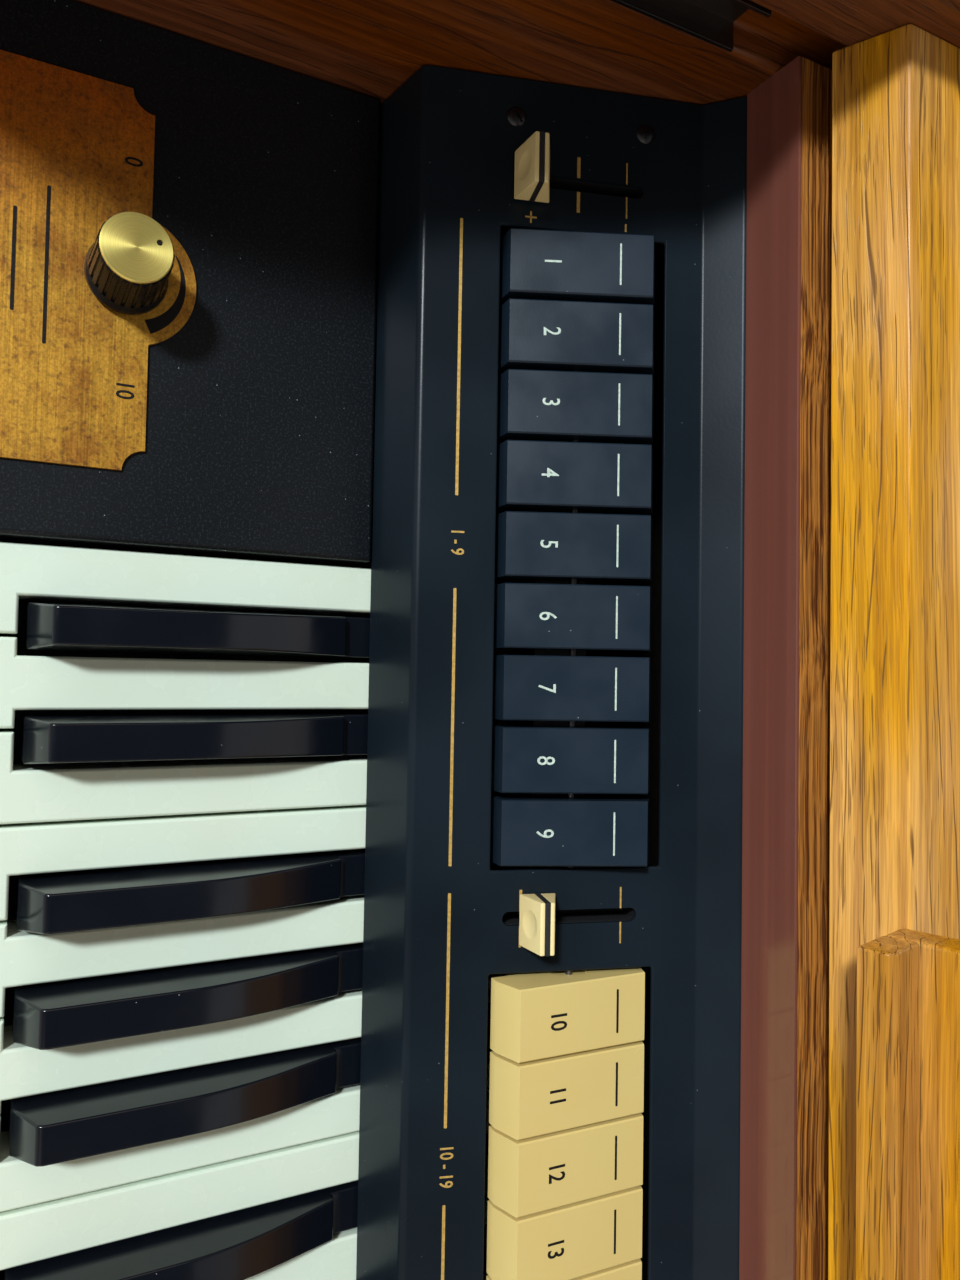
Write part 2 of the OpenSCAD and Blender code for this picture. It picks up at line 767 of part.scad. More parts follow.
// The channel under one slot, with the wire that its tabs turn on
module tab_carrier(start, count) {
    l = count * tab_pitch + 2 * slot_end;
    translate([start - slot_end - carrier_t, tab_pivot_s, 0]) {
        translate([0, -carrier_half, -carrier_drop])
            cube([l + 2 * carrier_t, 2 * carrier_half, carrier_t / 2]);
        for (x = [0, l + carrier_t])
            translate([x, -carrier_half, -carrier_drop])
                cube([carrier_t, 2 * carrier_half, carrier_drop - panel_t]);
        translate([0, 0, -tab_pivot_drop]) rotate([0, 90, 0])
            cylinder(r = tab_wire_r, h = l + 2 * carrier_t);
    }
}

// The angle that holds an end of the panel to the side wall
module end_bracket() {
    front = 10;
    l = panel_l - 2 * front;
    leg = 20;
    t = 2;
    translate([wall_x, front, -panel_t - t]) cube([leg, l, t]);
    translate([wall_x, front, -panel_t - leg]) cube([t, l, leg]);
}

module panel_carriers() {
    color("gray") at_panel() {
        tab_carrier(black_start, black_tabs);
        for (g = [0:cream_groups - 1]) tab_carrier(group_start(g), cream_tabs);
        mirrored_ends() end_bracket();
    }
}

// Tabs: drawn level round the pivot, then tilted to their rest position

// Half the length of a tab at a height above its pivot
function tab_half(h) = tab_half_l - h * tan(tab_end_deg);

module tab_body(w, rise, skirt) {
    face = tab_half(rise);
    side_h = rise + skirt;
    difference() {
        union() {
            intersection() {
                translate([0, -tab_half_l, -skirt])
                    bevelled_block([w, 2 * tab_half_l, side_h], tab_bevel);
                across(0, w) polygon([
                    [-tab_half_l, -skirt], [tab_half_l, -skirt], [tab_half_l, 0], [face, rise],
                    [-face, rise], [-tab_half_l, 0]
                ]);
            }
            rotate([0, 90, 0]) cylinder(r = hub_r, h = w);
        }
        for (side = [-1, 1])
            across(tab_wall, w - 2 * tab_wall) polygon([
                [side * tab_web / 2, -skirt - eps], [side * (tab_half_l - tab_wall), -skirt - eps],
                [side * (tab_half_l - tab_wall), 0], [side * (face - tab_wall), rise - tab_wall],
                [side * tab_web / 2, rise - tab_wall]
            ]);
        translate([-eps, 0, 0]) rotate([0, 90, 0])
            cylinder(r = tab_wire_r + wire_clear, h = w + 2 * eps);
    }
}

module at_tab(start, i, gap, tilt) {
    at_panel() translate([start + i * tab_pitch + gap / 2, tab_pivot_s, -tab_pivot_drop])
        rotate([tilt, 0, 0]) children();
}

module black_tab(i) {
    color([0.13, 0.14, 0.16]) at_tab(black_start, i, black_gap, black_tilt)
        tab_body(black_w, black_rise, 3.4);
}

module cream_tab(i, group = 0) {
    recess = 0.5;
    color([0.95, 0.85, 0.6]) at_tab(group_start(group), i, cream_gap, -cream_tilt) difference() {
        tab_body(cream_w, cream_rise, 3.6);
        for (x = [-recess, cream_w - recess])
            translate([x, 0, 0]) rotate([0, 90, 0]) cylinder(r = tab_recess_r, h = 2 * recess);
    }
}

module upper_cream_tabs() {
    for (group = [0:cream_groups - 1], i = [0:cream_tabs - 1])
        if (group > 0 || i >= shown_cream_tabs) cream_tab(i, group);
}

// Sliders

blade_x = 3;
blade_depth = 10;

module slider_cap() {
    half = cap_l / 2;
    half_top = cap_top_l / 2;
    dish_r = 14;
    dish_depth = 0.6;
    face_mid = [-(half + half_top) / 2, (cap_gap + cap_h) / 2];
    face_out = unit([cap_gap - cap_h, half - half_top]);
    dish = face_mid + (dish_r - dish_depth) * face_out;
    color([0.95, 0.85, 0.6]) difference() {
        across(-cap_w / 2, cap_w)
            polygon([[-half, cap_gap], [half, cap_gap], [half_top, cap_h], [-half_top, cap_h]]);
        translate([-cap_w, -blade_t / 2, 0]) cube([2 * cap_w, blade_t, cap_h + eps]);
        translate([0, dish.x, dish.y]) sphere(r = dish_r);
    }
}

// The dark blade shows as a stripe through the cap, and its shank runs in the slot
module slider_blade() {
    color([0.1, 0.1, 0.1]) {
        translate([-cap_w / 2, -blade_t / 2, cap_gap]) cube([cap_w, blade_t, cap_h - cap_gap]);
        translate([-blade_x / 2, -blade_t / 2, -blade_depth])
            cube([blade_x, blade_t, blade_depth + cap_gap + eps / 2]);
    }
}

// The housing under a slot, open along its top for the blade
module slider_housing(x) {
    w = 9;
    h = 13;
    side_clear = 0.4;
    l = slider_l + 10;
    channel_w = blade_x + 2 * side_clear;
    translate([x - w / 2, slider_front + slider_l / 2 - l / 2, -panel_t - h]) difference() {
        cube([w, l, h]);
        translate([(w - channel_w) / 2, (l - slider_l) / 2, h - blade_depth])
            cube([channel_w, slider_l, blade_depth + eps]);
    }
}

module slider_housings() {
    color([0.2, 0.2, 0.2]) at_panel() {
        slider_housing(end_slider_x);
        slider_housing(volume_x);
        for (g = [1:cream_groups - 1]) {
            x = group_start(g) - group_gap + slider_offset;
            slider_housing(x);
            translate([x, volume_slider_s, 0]) slider_blade();
        }
    }
}

module upper_slider_caps() {
    at_panel() for (g = [1:cream_groups - 1])
        translate([group_start(g) - group_gap + slider_offset, volume_slider_s, 0]) slider_cap();
}

module end_slider_cap() {
    at_panel() translate([end_slider_x, end_slider_s, 0]) slider_cap();
}

module end_slider_blade() {
    at_panel() translate([end_slider_x, end_slider_s, 0]) slider_blade();
}

module volume_slider_cap() {
    at_panel() translate([volume_x, volume_slider_s, 0]) slider_cap();
}

module volume_slider_blade() {
    at_panel() translate([volume_x, volume_slider_s, 0]) slider_blade();
}

// Music desk

function desk_point(back, up) = desk_foot + back * back_slope + up * up_slope;

module music_desk_board() {
    color("goldenrod") at_manual() across(desk_x, desk_w) polygon([
        desk_point(-desk_t, 0), desk_point(0, 0), desk_point(0, desk_l), desk_point(-desk_t, desk_l)
    ]);
}

module music_desk_ledge() {
    front = -desk_t - ledge_l;
    edge = 1.6;
    color("goldenrod") at_manual() across(desk_x, desk_w) polygon([
        desk_point(front, 0), desk_point(-desk_t, 0), desk_point(-desk_t, ledge_t),
        desk_point(front + edge, ledge_t), desk_point(front, ledge_t - edge)
    ]);
}

// Two brackets hold the desk's board up from the top board
module music_desk_brackets() {
    foot_y = desk_foot.x + desk_hang * tan(desk_lean);
    high = desk_point(0, bracket_h);
    tip_w = 14;
    tip_drop = 6;
    toe_h = 8;
    color("goldenrod") at_manual()
        for (x = [desk_x + bracket_inset, desk_x + desk_w - bracket_inset - bracket_t])
            across(x, bracket_t) polygon([
                [foot_y, top_edge.y], high, high + [tip_w, -tip_drop],
                [foot_y + bracket_l, top_edge.y + toe_h], [foot_y + bracket_l, top_edge.y]
            ]);
}

base_board();
back_board();
side_panel_left();
side_panel_right();
top_board();
lid_shelf();
fascia_board();
front_rail();
cheek_block_left();
cheek_block_right();
stop_panel();
panel_carriers();
slider_housings();
lid_rails();
control_plate();
music_desk_board();
music_desk_ledge();
music_desk_brackets();
key_frame();
key_stop_rail();
upper_naturals();
upper_sharps();
upper_cream_tabs();
upper_slider_caps();
knob_skirt();
knob_disc();
knob_housing();
end_slider_cap();
end_slider_blade();
volume_slider_cap();
volume_slider_blade();

for (n = [0:6])
    at_manual() natural(n);
for (k = [0:4])
    at_manual() sharp(k);
for (n = [0:1])
    at_manual() translate([octave_w, 0, 0]) natural(n);
at_manual() translate([octave_w, 0, 0]) sharp(0);  // key_upper_c_sharp
for (i = [0:black_tabs - 1])
    black_tab(i);
for (i = [0:shown_cream_tabs - 1])
    cream_tab(i);
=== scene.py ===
"""The looks of an electronic organ console head: finishes, printed marks and small fittings.

Lengths are in metres, with X along the keyboard, Y away from the player and Z up. The printed
marks, the screws and the camera are placed from the first key's left edge, which the frame gives.
"""

import contextlib
import json
import math

import bpy
from mathutils import Matrix, Vector

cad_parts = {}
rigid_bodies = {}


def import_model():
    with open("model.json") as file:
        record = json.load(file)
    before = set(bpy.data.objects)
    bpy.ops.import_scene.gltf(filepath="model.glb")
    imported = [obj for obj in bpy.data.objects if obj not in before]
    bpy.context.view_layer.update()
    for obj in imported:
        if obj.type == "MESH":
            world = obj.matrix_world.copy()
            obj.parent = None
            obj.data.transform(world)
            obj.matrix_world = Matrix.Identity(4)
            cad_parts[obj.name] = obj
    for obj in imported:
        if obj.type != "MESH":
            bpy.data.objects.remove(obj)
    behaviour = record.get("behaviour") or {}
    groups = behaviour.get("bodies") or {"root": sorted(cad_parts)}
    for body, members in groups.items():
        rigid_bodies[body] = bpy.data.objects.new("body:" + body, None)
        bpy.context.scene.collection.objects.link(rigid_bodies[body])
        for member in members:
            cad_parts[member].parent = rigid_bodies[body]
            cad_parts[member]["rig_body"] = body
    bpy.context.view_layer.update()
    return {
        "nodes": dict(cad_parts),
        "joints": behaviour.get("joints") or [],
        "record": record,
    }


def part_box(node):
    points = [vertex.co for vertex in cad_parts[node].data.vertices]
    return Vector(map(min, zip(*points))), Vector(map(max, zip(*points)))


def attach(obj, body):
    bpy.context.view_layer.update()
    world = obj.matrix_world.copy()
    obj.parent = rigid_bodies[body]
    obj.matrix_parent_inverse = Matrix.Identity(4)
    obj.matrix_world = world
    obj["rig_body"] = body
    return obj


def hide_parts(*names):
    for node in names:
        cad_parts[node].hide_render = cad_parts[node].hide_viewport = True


bl_info = {
    "name": "Organ Console Head",
    "version": (1, 0, 0),
    "blender": (4, 5, 0),
    "location": "View3D > Sidebar > Organ",
    "description": "Finishes, printed marks and small fittings of an organ console head",
    "category": "Object",
}

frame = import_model()

MM = 0.001
ROOT = "case"
JOINTS = {joint["name"]: joint for joint in frame["joints"]}
SLOTS = {part["node"]: part["material_slot"] for part in frame["record"]["subparts"]}
NATURALS = ["c", "d", "e", "f", "g", "a", "b", "upper_c", "upper_d"]
SHARPS = ["c_sharp", "d_sharp", "f_sharp", "g_sharp", "a_sharp", "upper_c_sharp"]
BLACK_TABS = 9
CREAM_TABS = 5
CREAM_GROUPS = 3
TABS_IN_GROUP = 10

# The manual's own origin: left edge of the first key, panel's lip, tops of the white keys
KEY_GAP = 0.9 * MM
PANEL_GAP = 0.3 * MM
KEYS_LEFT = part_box("key_c")[0].x - KEY_GAP / 2
KEYS_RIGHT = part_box("upper_naturals")[1].x + KEY_GAP / 2
KEYS_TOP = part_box("key_c")[1].z
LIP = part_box("cheek_block_left")[1].y + PANEL_GAP
MANUAL = Matrix.Translation((KEYS_LEFT, LIP, KEYS_TOP))

# The panel's face: X along it, Y up its slope and Z out of it
TAB_PIVOT = Vector(JOINTS["black_tab_1_rock"]["pos_m"])
TAB_PIVOT_UP = 46.5 * MM
TAB_PIVOT_DROP = 2.6 * MM
UP_SLOPE = Vector(JOINTS["end_slider_travel"]["axis"]).normalized()
OUT = Vector((1, 0, 0)).cross(UP_SLOPE)
SLOPE = math.atan2(UP_SLOPE.z, UP_SLOPE.y)
BEND = Vector((KEYS_LEFT, TAB_PIVOT.y, TAB_PIVOT.z)) - TAB_PIVOT_UP * UP_SLOPE + TAB_PIVOT_DROP * OUT
PANEL = Matrix.Translation(BEND) @ Matrix.Rotation(SLOPE, 4, "X")
KNOB = Vector(JOINTS["knob_turn"]["pos_m"])

# Fixed colours: dust, ageing, woods, metals and inks with a colour of their own, and painted shade and
# shadow
CHEEK_DUST = (0.20, 0.23, 0.26, 1)
PANEL_DUST = (0.20, 0.22, 0.25, 1)
TAB_DUST = (0.25, 0.27, 0.29, 1)
KEY_DUST = (0.30, 0.31, 0.33, 1)
AGED_CREAM = (0.66, 0.46, 0.16, 1)
AGED_IVORY = (0.68, 0.70, 0.53, 1)
# Music desk: a darker, more orange copy of the top board's oak, painted shade
DESK_PALE_IN_PAINTED_SHADE = (0.56, 0.25, 0.016, 1)
DESK_DARK_IN_PAINTED_SHADE = (0.28, 0.10, 0.008, 1)
# Base board under the keys: near black, painted shade
BASE_PAINTED_SHADE = (0.017, 0.012, 0.009, 1)
VENEER_TAN = (0.43, 0.17, 0.030, 1)
VENEER_DARK = (0.08, 0.021, 0.006, 1)
LAMINATE_BLACK = (0.0045, 0.006, 0.0075, 1)
LAMINATE_GREY = (0.017, 0.023, 0.030, 1)
# Painted shadow of the side panel: the control plate's colour towards the left
COPPER_IN_PAINTED_SHADOW = (0.50, 0.12, 0.004, 1)
COPPER_BLOTCH = (0.30, 0.10, 0.012, 1)
COPPER_SPOT = (0.12, 0.045, 0.018, 1)
SKIRT_BLACK = (0.008, 0.009, 0.011, 1)
MOULDED_BLACK = (0.018, 0.018, 0.019, 1)
STEEL_GREY = (0.13, 0.13, 0.135, 1)
RAIL_GREY = (0.11, 0.10, 0.095, 1)
SCREW_BLACK = (0.05, 0.05, 0.055, 1)
WHITE_INK = (0.48, 0.58, 0.50, 1)
BLACK_INK = (0.012, 0.011, 0.01, 1)
FLOOR_GREY = (0.68, 0.675, 0.665, 1)

# How points, faces and edges are told apart, and the small roundings that no one chooses
MERGE_DISTANCE = 0.002 * MM
FLAT_ANGLE = math.radians(0.4)
SHARP_ANGLE = math.radians(28)
LIP_MARGIN = 1 * MM
PIVOT_MARGIN = 0.5 * MM
CREST_DEPTH = 0.5 * MM
FINE_EDGE = 0.2 * MM
PLATE_EDGE = 0.15 * MM
CAP_EDGE = 0.35 * MM


class ConsoleSizes(bpy.types.PropertyGroup):
    """Sizes that a maker of such a console would choose."""

    key_edge: bpy.props.FloatProperty(
        name="Key edge", description="Radius along the edges of the white keys",
        default=0.25 * MM, min=0.05 * MM, max=0.5 * MM, precision=5, unit="LENGTH")
    sharp_edge: bpy.props.FloatProperty(
        name="Sharp edge", description="Radius along the edges of the black keys",
        default=0.6 * MM, min=0.3 * MM, max=0.75 * MM, precision=5, unit="LENGTH")
    tab_edge: bpy.props.FloatProperty(
        name="Tab edge", description="Radius along the edges of the rocker tabs",
        default=0.27 * MM, min=0.05 * MM, max=0.28 * MM, precision=5, unit="LENGTH")
    board_edge: bpy.props.FloatProperty(
        name="Board edge", description="Radius along the edges of the wooden boards",
        default=0.8 * MM, min=0.2 * MM, max=2 * MM, precision=5, unit="LENGTH")
    side_edge: bpy.props.FloatProperty(
        name="Side edge", description="Radius along the edges of the side panels",
        default=2.2 * MM, min=0.5 * MM, max=5 * MM, precision=5, unit="LENGTH")
    print_height: bpy.props.FloatProperty(
        name="Print height", description="How far printed ink stands off its face",
        default=0.04 * MM, min=0.02 * MM, max=0.1 * MM, precision=5, unit="LENGTH")
    line_width: bpy.props.FloatProperty(
        name="Line width", description="Width of the long printed lines",
        default=0.85 * MM, min=0.4 * MM, max=1.5 * MM, precision=5, unit="LENGTH")
    figure_height: bpy.props.FloatProperty(
        name="Figure height", description="Height of the figures on the rocker tabs",
        default=4.9 * MM, min=3 * MM, max=6 * MM, precision=5, unit="LENGTH")
    screw_radius: bpy.props.FloatProperty(
        name="Screw radius", description="Radius of the screw heads on the panel",
        default=2.9 * MM, min=2 * MM, max=4 * MM, precision=5, unit="LENGTH")


class ConsoleColours(bpy.types.PropertyGroup):
    """Colours of the finishes."""

    ivory: bpy.props.FloatVectorProperty(
        name="Ivory", description="White keys", subtype="COLOR", default=(0.69, 0.80, 0.665))
    key_black: bpy.props.FloatVectorProperty(
        name="Key black", description="Black keys", subtype="COLOR", default=(0.003, 0.0045, 0.008))
    panel_black: bpy.props.FloatVectorProperty(
        name="Panel black", description="Folded panel", subtype="COLOR",
        default=(0.0068, 0.0115, 0.0165))
    tab_black: bpy.props.FloatVectorProperty(
        name="Tab slate", description="Dark rocker tabs", subtype="COLOR",
        default=(0.0085, 0.0175, 0.029))
    tab_cream: bpy.props.FloatVectorProperty(
        name="Tab cream", description="Cream rocker tabs", subtype="COLOR", default=(0.66, 0.53, 0.20))
    cap_cream: bpy.props.FloatVectorProperty(
        name="Cap cream", description="Slider caps", subtype="COLOR", default=(0.84, 0.72, 0.36))
    gold_ink: bpy.props.FloatVectorProperty(
        name="Gold ink", description="Lines on the panel", subtype="COLOR", default=(0.52, 0.33, 0.09))
    copper: bpy.props.FloatVectorProperty(
        name="Copper", description="Control plate", subtype="COLOR", default=(0.58, 0.30, 0.033))
    disc: bpy.props.FloatVectorProperty(
        name="Turned brass", description="Disc on the knob", subtype="COLOR", default=(0.92, 0.76, 0.22))
    maroon: bpy.props.FloatVectorProperty(
        name="Maroon", description="Glossy fascia", subtype="COLOR", default=(0.15, 0.05, 0.034))
    oak_light: bpy.props.FloatVectorProperty(
        name="Oak, light", description="Pale growth in the top board", subtype="COLOR",
        default=(0.67, 0.325, 0.034))
    oak_dark: bpy.props.FloatVectorProperty(
        name="Oak, dark", description="Dark growth in the top board", subtype="COLOR",
        default=(0.33, 0.125, 0.015))
    side_light: bpy.props.FloatVectorProperty(
        name="Side wood, light", description="Pale growth in the side panels", subtype="COLOR",
        default=(0.17, 0.048, 0.009))
    side_dark: bpy.props.FloatVectorProperty(
        name="Side wood, dark", description="Dark growth in the side panels", subtype="COLOR",
        default=(0.065, 0.016, 0.004))


def sizes():
    """The chosen sizes."""
    return bpy.context.scene.console_sizes


def colour(name):
    """A chosen colour, opaque."""
    return (*getattr(bpy.context.scene.console_colours, name), 1)


def along(grain, lengthwise, across):
    """A scale that is small along the grain's axis and large across it."""
    return tuple(lengthwise if axis == grain else across for axis in "XYZ")


def cross_grain(grain, first, second):
    """A direction across the grain, with a length for each of the other two axes."""
    lengths = iter((first, second))
    return tuple(0.0 if axis == grain else next(lengths) for axis in "XYZ")


class Surface:
    """A principled material under construction."""

    # Sockets of the Mix node that take and give colours, whose names other sockets share
    MIX_SHARE, MIX_FIRST, MIX_SECOND, MIX_RESULT = 0, 6, 7, 2
    # Nearly all of a noise lies between these two values
    NOISE_LOW, NOISE_HIGH = 0.3, 0.7

    def __init__(self, name):
        self.material = bpy.data.materials.new(name)
        self.material.use_nodes = True
        self.nodes = self.material.node_tree.nodes
        self.links = self.material.node_tree.links
        self.nodes.clear()
        self.shader = self.add("ShaderNodeBsdfPrincipled")
        self.add("ShaderNodeOutputMaterial", {"Surface": self.shader.outputs["BSDF"]})
        self.place = self.add("ShaderNodeTexCoord").outputs["Object"]

    def add(self, kind, inputs=None, **settings):
        node = self.nodes.new(kind)
        for name, value in settings.items():
            setattr(node, name, value)
        for name, value in (inputs or {}).items():
            self.feed(node.inputs[name], value)
        return node

    def feed(self, socket, value):
        if isinstance(value, bpy.types.NodeSocket):
            self.links.new(value, socket)
        else:
            socket.default_value = value

    def look(self, **inputs):
        """Set the shader's own sockets, or link them."""
        for name, value in inputs.items():
            self.feed(self.shader.inputs[name.replace("_", " ")], value)

    def worked_out(self, kind, operation, values):
        """The outputs of a node that takes the values in the order of its sockets."""
        node = self.add(kind, operation=operation)
        for socket, value in zip(node.inputs, values):
            self.feed(socket, value)
        return node.outputs

    def math(self, operation, *values):
        return self.worked_out("ShaderNodeMath", operation, values)["Value"]

    def vector(self, operation, *values):
        return self.worked_out("ShaderNodeVectorMath", operation, values)["Vector"]

    def scaled(self, scale, place=None):
        return self.add("ShaderNodeMapping", {"Vector": place or self.place, "Scale": scale}).outputs[0]

    def noise(self, scale=1.0, place=None, detail=2.0, roughness=0.5, output="Fac"):
        return self.add("ShaderNodeTexNoise", {
            "Vector": place or self.place, "Scale": scale, "Detail": detail,
            "Roughness": roughness}).outputs[output]

    def drawn(self, grain, lengthwise, across, place=None, **settings):
        """A noise drawn out along the grain's axis, with the waves in a metre along and across it."""
        return self.noise(place=self.scaled(along(grain, lengthwise, across), place), **settings)

    def bent(self, place, amount, scale):
        """The place, pushed about by a soft noise."""
        push = self.noise(scale, place, output="Color")
        centred = self.vector("SUBTRACT", push, (0.5, 0.5, 0.5))
        return self.vector("MULTIPLY_ADD", centred, amount, place)

    def span(self, value, low, high, start=0.0, end=1.0):
        """The value between low and high, stretched to run from start to end."""
        return self.add("ShaderNodeMapRange", {
            "Value": value, "From Min": low, "From Max": high, "To Min": start, "To Max": end},
            interpolation_type="SMOOTHSTEP").outputs["Result"]

    def swing(self, noise, start, end):
        """The noise, made to run from start to end."""
        return self.span(noise, self.NOISE_LOW, self.NOISE_HIGH, start, end)

    def blend(self, share, first, second):
        """The first colour, with a share of the second in it."""
        node = self.add("ShaderNodeMix", data_type="RGBA")
        self.feed(node.inputs[self.MIX_SHARE], share)
        self.feed(node.inputs[self.MIX_FIRST], first)
        self.feed(node.inputs[self.MIX_SECOND], second)
        return node.outputs[self.MIX_RESULT]

    def shaded(self, amount, base, strength=1.0):
        """The base colour made lighter or darker by the amount, and its hue stronger or weaker."""
        return self.add("ShaderNodeHueSaturation", {
            "Color": base, "Value": amount, "Saturation": strength}).outputs[0]

    def dusted(self, tone, dust, spacing, size, share):
        """The tone with round specks of about the given size on it, in a share of the cells."""
        cells = self.add("ShaderNodeTexVoronoi", {"Vector": self.place, "Scale": 1 / spacing})
        inside = self.math("LESS_THAN", cells.outputs["Distance"], size / spacing / 2)
        lot = self.add("ShaderNodeSeparateColor", {"Color": cells.outputs["Color"]}).outputs[0]
        speck = self.math("MULTIPLY", inside, self.math("LESS_THAN", lot, share))
        return self.blend(speck, tone, dust)

    def relief(self, height, depth):
        self.look(Normal=self.add("ShaderNodeBump", {
            "Height": height, "Strength": 1.0, "Distance": depth}).outputs[0])


def growth_lines(surface, grain, place):
    """Thin lines that follow the growth and break off here and there."""
    growth = surface.worked_out("ShaderNodeVectorMath", "DOT_PRODUCT",
                                (place, cross_grain(grain, 165, 130)))["Value"]
    wander = surface.drawn(grain, 5, 55, place, detail=1)
    away = surface.math("PINGPONG", surface.math("MULTIPLY_ADD", wander, 5.0, growth), 0.5)
    breaks = surface.drawn(grain, 45, 420, place, detail=1)
    return surface.math("MULTIPLY", surface.span(away, 0.015, 0.055, 0.85, 0.0),
                        surface.span(breaks, 0.40, 0.54))


def short_pores(surface, grain, place, rings):
    """Short dark pores, more of them in one half of each ring."""
    lots = surface.drawn(grain, 55, 1900, place, detail=1)
    return surface.math("MULTIPLY", surface.span(lots, 0.60, 0.68),
                        surface.span(rings, 0.40, 0.60, 0.2, 0.75))


def open_grain(light, dark, grain, pores=1.0):
    """Oak: growth bands, fine fibre, thin broken lines and short dark pores along the grain."""
    def made(surface):
        place = surface.bent(surface.place, (16 * MM, 16 * MM, 16 * MM), 2.6)
        place = surface.bent(place, (0.7 * MM, 0.7 * MM, 0.7 * MM), 45)
        rings = surface.drawn(grain, 1.6, 125, place)
        bands = surface.drawn(grain, 5, 460, place, detail=3, roughness=0.6)
        fibre = surface.drawn(grain, 40, 2700, place)
        cloud = surface.drawn(grain, 10, 45, place)
        tone = surface.blend(surface.span(bands, 0.36, 0.66, 0.0, 0.65), light, dark)
        tone = surface.shaded(surface.span(rings, 0.35, 0.65, 1.05, 0.88), tone)
        tone = surface.shaded(surface.span(fibre, 0.25, 0.75, 0.80, 1.16), tone)
        strength = surface.span(cloud, 0.35, 0.7, 1.05, 0.93)
        tone = surface.shaded(surface.swing(cloud, 0.93, 1.05), tone, strength)
        pore = surface.math("MAXIMUM", growth_lines(surface, grain, place),
                            short_pores(surface, grain, place, rings))
        pore = surface.math("MULTIPLY", pore, pores)
        surface.look(
            Base_Color=surface.blend(pore, tone, surface.shaded(0.34, dark)),
            Roughness=surface.math("MULTIPLY_ADD", pore, 0.3, 0.36),
            Specular_IOR_Level=0.25, Coat_Weight=0.06, Coat_Roughness=0.2)
        solid = surface.math("SUBTRACT", 1.0, pore)
        surface.relief(surface.math("MULTIPLY_ADD", fibre, 0.15, solid), 0.12 * MM)
    return made


def stained_board(surface):
    """Fibreboard under the keys, made near black as painted shade."""
    flecks = surface.noise(700, detail=3)
    tone = surface.shaded(surface.swing(flecks, 0.8, 1.2), BASE_PAINTED_SHADE)
    surface.look(Base_Color=tone, Roughness=0.65, Specular_IOR_Level=0.2)
    surface.relief(flecks, 0.03 * MM)


def striped_veneer(surface):
    """Dark and tan stripes that wander along the board."""
    place = surface.bent(surface.place, along("X", 0.0, 13 * MM), 7)
    place = surface.bent(place, along("X", 0.0, 1.2 * MM), 40)
    stripes = surface.drawn("X", 5, 1000, place, detail=3, roughness=0.7)
    fine = surface.drawn("X", 60, 3600, place, detail=1)
    tone = surface.blend(surface.span(stripes, 0.40, 0.62), VENEER_TAN, VENEER_DARK)
    tone = surface.shaded(surface.swing(fine, 0.75, 1.2), tone)
    surface.look(Base_Color=tone, Roughness=0.36, Coat_Weight=0.3, Coat_Roughness=0.15)
    surface.relief(fine, 0.04 * MM)


def gloss_maroon(surface):
    """Glossy foil with a faint drawn grain along it."""
    drawn = surface.drawn("X", 3, 240, detail=3)
    smear = surface.noise(40)
    surface.look(
        Base_Color=surface.shaded(surface.swing(drawn, 0.88, 1.12), colour("maroon")),
        Roughness=surface.swing(smear, 0.16, 0.26), Coat_Weight=0.6, Coat_Roughness=0.06)
    surface.relief(drawn, 0.006 * MM)


def grained_black(surface):
    """Black laminate with a fine pebbled grain and a little dust."""
    pebble = surface.noise(1500, detail=3, roughness=0.6)
    patch = surface.noise(12)
    tone = surface.blend(surface.span(pebble, 0.50, 0.72), LAMINATE_BLACK, LAMINATE_GREY)
    tone = surface.dusted(tone, CHEEK_DUST, spacing=3.4 * MM, size=0.32 * MM, share=0.45)
    surface.look(Base_Color=tone, Roughness=surface.swing(patch, 0.32, 0.42), Specular_IOR_Level=0.28)
    surface.relief(pebble, 0.05 * MM)


def satin_black(surface):
    """Stoved black paint on folded sheet."""
    peel = surface.noise(900)
    patch = surface.noise(16, detail=3)
    tone = surface.shaded(surface.swing(patch, 0.8, 1.25), colour("panel_black"))
    tone = surface.dusted(tone, PANEL_DUST, spacing=4.2 * MM, size=0.26 * MM, share=0.5)
    surface.look(Base_Color=tone, Roughness=surface.swing(patch, 0.27, 0.35), Specular_IOR_Level=0.13)
    surface.relief(peel, 0.012 * MM)


def moulded_slate(surface):
    """Satin dark plastic, a little blue, with dust on it."""
    patch = surface.noise(55, detail=3)
    fine = surface.noise(1800, detail=1)
    tone = surface.shaded(surface.swing(patch, 0.93, 1.07), colour("tab_black"))
    tone = surface.dusted(tone, TAB_DUST, spacing=5 * MM, size=0.3 * MM, share=0.45)
    surface.look(Base_Color=tone, Roughness=surface.swing(patch, 0.28, 0.38), Specular_IOR_Level=0.3)
    surface.relief(fine, 0.01 * MM)


def cream_plastic(name):
    """Cream plastic that has yellowed in patches."""
    def made(surface):
        patch = surface.noise(28, detail=3)
        fine = surface.noise(1500, detail=1)
        tone = surface.blend(surface.swing(patch, 0.0, 0.35), colour(name), AGED_CREAM)
        surface.look(Base_Color=tone, Roughness=surface.swing(patch, 0.26, 0.34))
        surface.relief(fine, 0.006 * MM)
    return made


def ivory(surface):
    """Smooth key plastic, rubbed by fingers."""
    patch = surface.noise(26, detail=3)
    cloud = surface.noise(140)
    fine = surface.noise(900, detail=1)
    tone = surface.blend(surface.span(patch, 0.3, 0.75, 0.0, 0.25), colour("ivory"), AGED_IVORY)
    surface.look(Base_Color=tone, Roughness=surface.swing(cloud, 0.2, 0.3))
    surface.relief(fine, 0.004 * MM)


def gloss_black(surface):
    """Polished black plastic with dust and finger marks."""
    cloud = surface.noise(60, detail=3)
    fine = surface.noise(500, detail=1)
    tone = surface.dusted(colour("key_black"), KEY_DUST, spacing=4 * MM, size=0.28 * MM, share=0.35)
    surface.look(
        Base_Color=tone, Roughness=surface.span(cloud, 0.35, 0.7, 0.15, 0.26),
        Specular_IOR_Level=0.32, Coat_Weight=0.1, Coat_Roughness=0.08)
    surface.relief(fine, 0.004 * MM)


